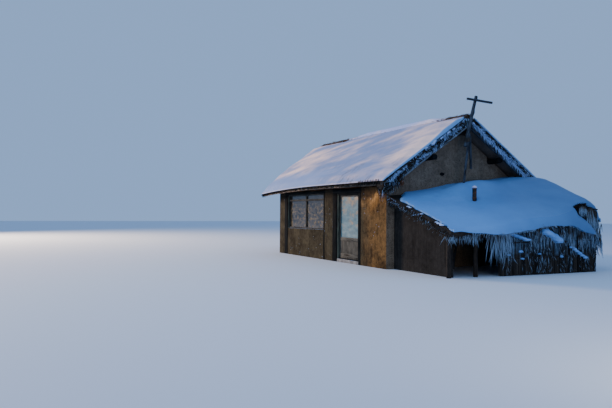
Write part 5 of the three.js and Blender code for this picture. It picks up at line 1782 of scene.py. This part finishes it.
def make_pin(start, end, radius, bevel, sides=18):
    start, end = Vector(start), Vector(end)
    deselect_all()
    bpy.ops.mesh.primitive_cylinder_add(vertices=sides, radius=radius, depth=(end - start).length,
                                        location=(0.0, 0.0, 0.0))
    pin = bpy.context.object
    apply_modifier(pin, "BEVEL", width=bevel, segments=2, limit_method="ANGLE", angle_limit=math.radians(50.0))
    turn = (end - start).to_track_quat("Z", "Y").to_matrix().to_4x4()
    pin.data.transform(Matrix.Translation((start + end) / 2.0) @ turn)
    return pin


GRIP_LOW, GRIP_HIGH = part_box("door_handle")
grip_x = (GRIP_LOW.x + GRIP_HIGH.x) / 2.0
parts = []
BAR = 0.009
for face_y in (GRIP_LOW.y + BAR, GRIP_HIGH.y - BAR):
    parts.append(make_pin((grip_x, face_y, GRIP_LOW.z), (grip_x, face_y, GRIP_HIGH.z), BAR, 0.004))
for z in (0.980, 1.120):
    parts.append(make_pin((grip_x, GRIP_LOW.y + 0.005, z), (grip_x, GRIP_HIGH.y - 0.005, z), 0.007, 0.001))
    for y0, y1 in ((LEAF_LOW.y - 0.004, LEAF_LOW.y - 0.0003), (LEAF_HIGH.y + 0.0003, LEAF_HIGH.y + 0.004)):
        parts.append(make_pin((grip_x, y0, z), (grip_x, y1, z), 0.011, 0.0012))
finish_piece(join_pieces(parts), "door_pull", IRON, ["door_handle"], "door", 35.0)


HINGE_X, HINGE_Y = 0.1435, -2.280


def make_hinge_half(node, body, seed):
    low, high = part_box(node)
    parts = [make_pin((HINGE_X, HINGE_Y, low.z), (HINGE_X, HINGE_Y, high.z), 0.0088, 0.0012)]
    on_leaf = body == "door"
    plate_low = Vector((HINGE_X + 0.004 if on_leaf else low.x, -2.2896, low.z))
    plate_high = Vector((high.x if on_leaf else HINGE_X - 0.002, -2.2866, high.z))
    parts.append(make_board(plate_low, plate_high, 0.0008, seed))
    for k in range(3):
        x = HINGE_X + (0.022 if on_leaf else -0.020) + (0.016 if on_leaf else -0.014) * (k % 2)
        z = low.z + 0.009 + 0.0135 * k
        parts.append(make_pin((x, -2.2868, z), (x, -2.2848, z), 0.0032, 0.0008, 12))
    finish_piece(join_pieces(parts), node + "_iron", IRON, [node], body, 35.0)


for number, level in enumerate(("low", "high")):
    make_hinge_half(f"hinge_{level}_frame", "house", 300 + number)
    make_hinge_half(f"hinge_{level}_leaf", "door", 310 + number)

# %% [markdown]
# ## Glass
# The door's pane looks milky and light blue, as if a curtain or frost were behind it. The window is darker. Both
# carry warm patches, a painted reflection of the low sun, and are frosted at the edges, so the mask uses the distance
# to each pane's rim.

# %% Glass materials


def glass_material(name, node, clear, cloud, transmission, roughness, frost_reach, sun_reflection_tint=None, rise=0.0, size=4.5):
    """sun_reflection_tint tints the patches of painted reflection of the low sun: towards the head if rise is above
    0, else the foot.
    """
    low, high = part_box(node)
    material, tree, shader = new_material(name, roughness, 0.5)
    shader.inputs["Transmission Weight"].default_value = transmission
    shader.inputs["IOR"].default_value = 1.45
    where = object_place(tree)
    parts = put(tree, "SeparateXYZ", {0: where}).outputs
    from_left = calc(tree, "SUBTRACT", parts["X"], low.x)
    from_right = calc(tree, "SUBTRACT", high.x, parts["X"])
    from_foot = calc(tree, "SUBTRACT", parts["Z"], low.z)
    from_head = calc(tree, "SUBTRACT", high.z, parts["Z"])
    from_side = calc(tree, "MINIMUM", from_left, from_right)
    rim = calc(tree, "MINIMUM", from_side, calc(tree, "MINIMUM", from_foot, from_head))
    ferns = noise_value(tree, stretched(tree, where, (1.0, 1.0, 0.7)), 16.0, 8.0, 0.7)
    past_ferns = calc(tree, "SUBTRACT", rim, calc(tree, "MULTIPLY", ferns, frost_reach * 2.0))
    frosted = remap(tree, past_ferns, 0.0, -frost_reach)
    waves = noise_value(tree, stretched(tree, where, (1.0, 1.0, 2.2)), 2.6, 4.0)
    colour = blend_colours(tree, remap(tree, waves, 0.35, 0.65), (*clear, 1.0), (*cloud, 1.0))
    # Painted reflection of the low sun in warm patches.
    if sun_reflection_tint:
        share = calc(tree, "MULTIPLY", calc(tree, "DIVIDE", from_foot, high.z - low.z), rise)
        if rise < 0.0:
            share = calc(tree, "MINIMUM", calc(tree, "SUBTRACT", share, 0.80 * rise), 0.16)
        patches = calc(tree, "ADD", noise_value(tree, stretched(tree, where, (1.0, 1.0, 1.6)), size, 5.0, 0.6), share)
        colour = blend_colours(tree, remap(tree, patches, 0.56, 0.86), colour, (*sun_reflection_tint, 1.0))
    tree.links.new(blend_colours(tree, frosted, colour, (0.62, 0.72, 0.82, 1.0)), shader.inputs["Base Color"])
    tree.links.new(remap(tree, frosted, 0.0, 1.0, roughness, 0.75), shader.inputs["Roughness"])
    add_bump(tree, shader, ferns, 0.15, 0.002)
    return material


DOOR_GLASS = glass_material("milky_pane", "door_glass", (0.07, 0.165, 0.20), (0.155, 0.262, 0.285), 0.12, 0.22,
                            0.030, (0.37, 0.27, 0.155), 0.17)
WINDOW_GLASS = glass_material("dark_pane", "window_glass", (0.045, 0.048, 0.045), (0.012, 0.016, 0.016), 0.30, 0.16,
                              0.03, (0.20, 0.150, 0.072), -1.4, 6.0)
dress(DOOR_GLASS, "glass", "door_glass")
dress(WINDOW_GLASS, "glass", "window_glass")
for number in (1, 2):
    node = f"back_window_glass_{number}"
    pane = glass_material(f"back_pane_{number}", node, (0.035, 0.045, 0.045), (0.09, 0.10, 0.09), 0.5, 0.10, 0.04)
    dress(pane, "glass", node)
print("glass dressed")

# %% [markdown]
# ## Stone sill
# One worn slab lies under the door. Its edges are rounded and its faces are a little uneven.

# %% Sill


def stone_material():
    material, tree, shader = new_material("sill_stone", 0.85)
    where = object_place(tree)
    grains = noise_value(tree, where, 90.0, 5.0, 0.7)
    patches = noise_value(tree, where, 6.0, 4.0)
    tone = weigh(tree, grains, 0.5, patches, 0.5)
    colour = blend_colours(tree, remap(tree, tone, 0.35, 0.68), (0.11, 0.11, 0.11, 1.0), (0.36, 0.36, 0.35, 1.0))
    tree.links.new(frost_over(tree, where, colour, 0.0, 12.0, 0.5), shader.inputs["Base Color"])
    add_bump(tree, shader, grains, 0.4, 0.004)
    return material


SILL_LOW, SILL_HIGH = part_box("door_sill")
sill = make_board(SILL_LOW, SILL_HIGH, 0.014, 320, 0.006, 0.05)
finish_piece(sill, "door_sill_slab", stone_material(), ["door_sill"], angle=45.0)

# %% [markdown]
# ## Vent and stovepipe
# A short clay ring lines the vent hole in the gable; it is coloured near black, which paints the shade inside the
# hole. The pipe rises from a well in the shed's snow: folded seams run round it, and a cap of snow sits on its rim.

# %% Vent and stovepipe


def make_vent(y, z, radius):
    deselect_all()
    bpy.ops.mesh.primitive_cylinder_add(vertices=28, radius=radius, depth=0.05, location=(0.0, 0.0, 0.0))
    vent = bpy.context.object
    edit_selected(vent, lambda face: face.normal.z > 0.9,
                  lambda: bpy.ops.mesh.inset(thickness=radius * 0.28, depth=0.0))

    def inner(face):
        return face.normal.z > 0.9 and face.center.length < 0.03 and len(face.vertices) > 4

    edit_selected(vent, inner,
                  lambda: bpy.ops.mesh.extrude_region_move(TRANSFORM_OT_translate={"value": (0, 0, -0.010)}))
    apply_modifier(vent, "BEVEL", width=0.003, segments=2, limit_method="ANGLE", angle_limit=math.radians(40.0))
    squeeze = Matrix.Diagonal((0.76, 1.20, 1.0, 1.0))
    turn = Matrix.Rotation(math.radians(90.0), 4, "Y")
    vent.data.transform(Matrix.Translation((GABLE_X - 0.008, y, z)) @ turn @ squeeze)
    keep_grain(vent, [vertex.co.copy() for vertex in vent.data.vertices])
    # The ring takes the near-black hewn timber, which paints the shade inside the hole.
    finish_piece(vent, "gable_vent", HEWN_WOOD, angle=40.0)


make_vent(-0.56, 2.61, 0.060)

PIPE_LOW, PIPE_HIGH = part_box("stovepipe")
pipe_x, pipe_y = (PIPE_LOW.x + PIPE_HIGH.x) / 2.0, (PIPE_LOW.y + PIPE_HIGH.y) / 2.0
PIPE_RINGS = [(1.26, 0.055), (1.50, 0.055), (1.508, 0.059), (1.522, 0.059), (1.53, 0.055), (1.90, 0.055),
              (1.908, 0.059), (1.922, 0.059), (1.93, 0.055), (2.140, 0.055), (2.147, 0.061), (2.168, 0.061),
              (2.172, 0.056)]


def make_pipe():
    pipe = ringed_cylinder(32, len(PIPE_RINGS) - 2)
    for vertex in pipe.data.vertices:
        z, radius = PIPE_RINGS[int(round((vertex.co.z + 0.5) * (len(PIPE_RINGS) - 1)))]
        dent = 1.0 + 0.02 * noise.noise((vertex.co.x * 1.5, vertex.co.y * 1.5, z * 9.0))
        vertex.co = (pipe_x + vertex.co.x * radius * dent, pipe_y + vertex.co.y * radius * dent, z)
    finish_piece(pipe, "stovepipe_seamed", PIPE_IRON, ["stovepipe"], angle=35.0)


make_pipe()
cap = make_lump((pipe_x, pipe_y, 2.190), (0.064, 0.064, 0.045), 77)
finish_piece(cap, "pipe_snow_cap", RIDGE_SNOW, angle=80.0)

# %% [markdown]
# ## The mast
# A knotty, nearly black pole leans on the ridge's end, a long thin prop carries it from below, and a board
# crosses it near the top. Turns of rope bind them: each is a torus pressed to the outline of both poles.

# %% Mast
upper_low, upper_high = axis_ends("mast_upper_pole", 2, 0.03)
upper = make_log(upper_low, upper_high, 0.053, 0.043, 401, sides=16, rough=0.10, bow=0.25, knots=7, pitch=0.05)
finish_piece(upper, "mast_top_pole", MAST_WOOD, ["mast_upper_pole"], angle=50.0)
prop_low, prop_high = axis_ends("mast_prop_pole", 2, 0.03)
prop = make_log((prop_low.x, prop_low.y, 0.0), prop_high, 0.036, 0.032, 402, sides=14, rough=0.12, bow=0.3, knots=9,
                pitch=0.06)
finish_piece(prop, "mast_prop", MAST_WOOD, ["mast_prop_pole"], angle=50.0)
strut = make_log(*axis_ends("mast_strut", 2, 0.03), 0.035, 0.032, 403, sides=12, rough=0.08, bow=0.1)
finish_piece(strut, "mast_short_strut", MAST_WOOD, ["mast_strut"], angle=50.0)

ARM_TILT = -0.044
ARM_LOW, ARM_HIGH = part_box("mast_crossarm")
arm_middle = (ARM_LOW + ARM_HIGH) / 2.0
arm = make_board((-0.024, -0.45, -0.029), (0.024, 0.45, 0.029), 0.006, 404, 0.004)
arm.data.transform(Matrix.Translation(arm_middle) @ Matrix.Rotation(ARM_TILT, 4, "X"))
finish_piece(arm, "mast_cross_board", MAST_WOOD, ["mast_crossarm"], angle=50.0)


def rope_material():
    material, tree, shader = new_material("straw_rope", 0.9)
    where = object_place(tree)
    twist = put(tree, "TexWave", {"Vector": where, "Scale": 90.0, "Distortion": 4.0, "Detail": 2.0},
                bands_direction="DIAGONAL").outputs[1]
    hairs = noise_value(tree, where, 140.0, 3.0)
    tone = weigh(tree, twist, 0.5, hairs, 0.5)
    colour = blend_colours(tree, remap(tree, tone, 0.3, 0.8), (0.012, 0.011, 0.010, 1.0), (0.085, 0.075, 0.060, 1.0))
    tree.links.new(frost_over(tree, where, colour, 0.05, 40.0, 0.3), shader.inputs["Base Color"])
    add_bump(tree, shader, tone, 0.8, 0.004)
    return material


def pole_centre(low_end, high_end, z):
    t = (z - low_end.z) / (high_end.z - low_end.z)
    return low_end + (high_end - low_end) * t


def make_turn(z, tilt, thickness):
    """One turn of rope round both poles at height z."""
    deselect_all()
    bpy.ops.mesh.primitive_torus_add(major_segments=44, minor_segments=8, major_radius=1.0, minor_radius=thickness)
    turn = bpy.context.object
    circles = [(pole_centre(upper_low, upper_high, z), 0.054), (pole_centre(prop_low, prop_high, z), 0.034)]
    for vertex in turn.data.vertices:
        angle = math.atan2(vertex.co.y, vertex.co.x)
        away = Vector((math.cos(angle), math.sin(angle), 0.0))
        centre, radius = max(circles, key=lambda item: item[0].dot(away) + item[1])
        ring = math.hypot(vertex.co.x, vertex.co.y) - 1.0
        point = Vector((centre.x, centre.y, z)) + away * (radius + thickness + ring)
        point.z += vertex.co.z + tilt * math.sin(angle + 0.6)
        vertex.co = point
    return turn


ROPE_FOOT, ROPE_PITCH, ROPE_RADIUS = 3.488, 0.0135, 0.0075
turns = [make_turn(ROPE_FOOT + ROPE_PITCH * k, 0.010 * (-1.0) ** k, ROPE_RADIUS) for k in range(8)]
finish_piece(join_pieces(turns), "mast_rope_turns", rope_material(), ["mast_lashing"], angle=60.0)
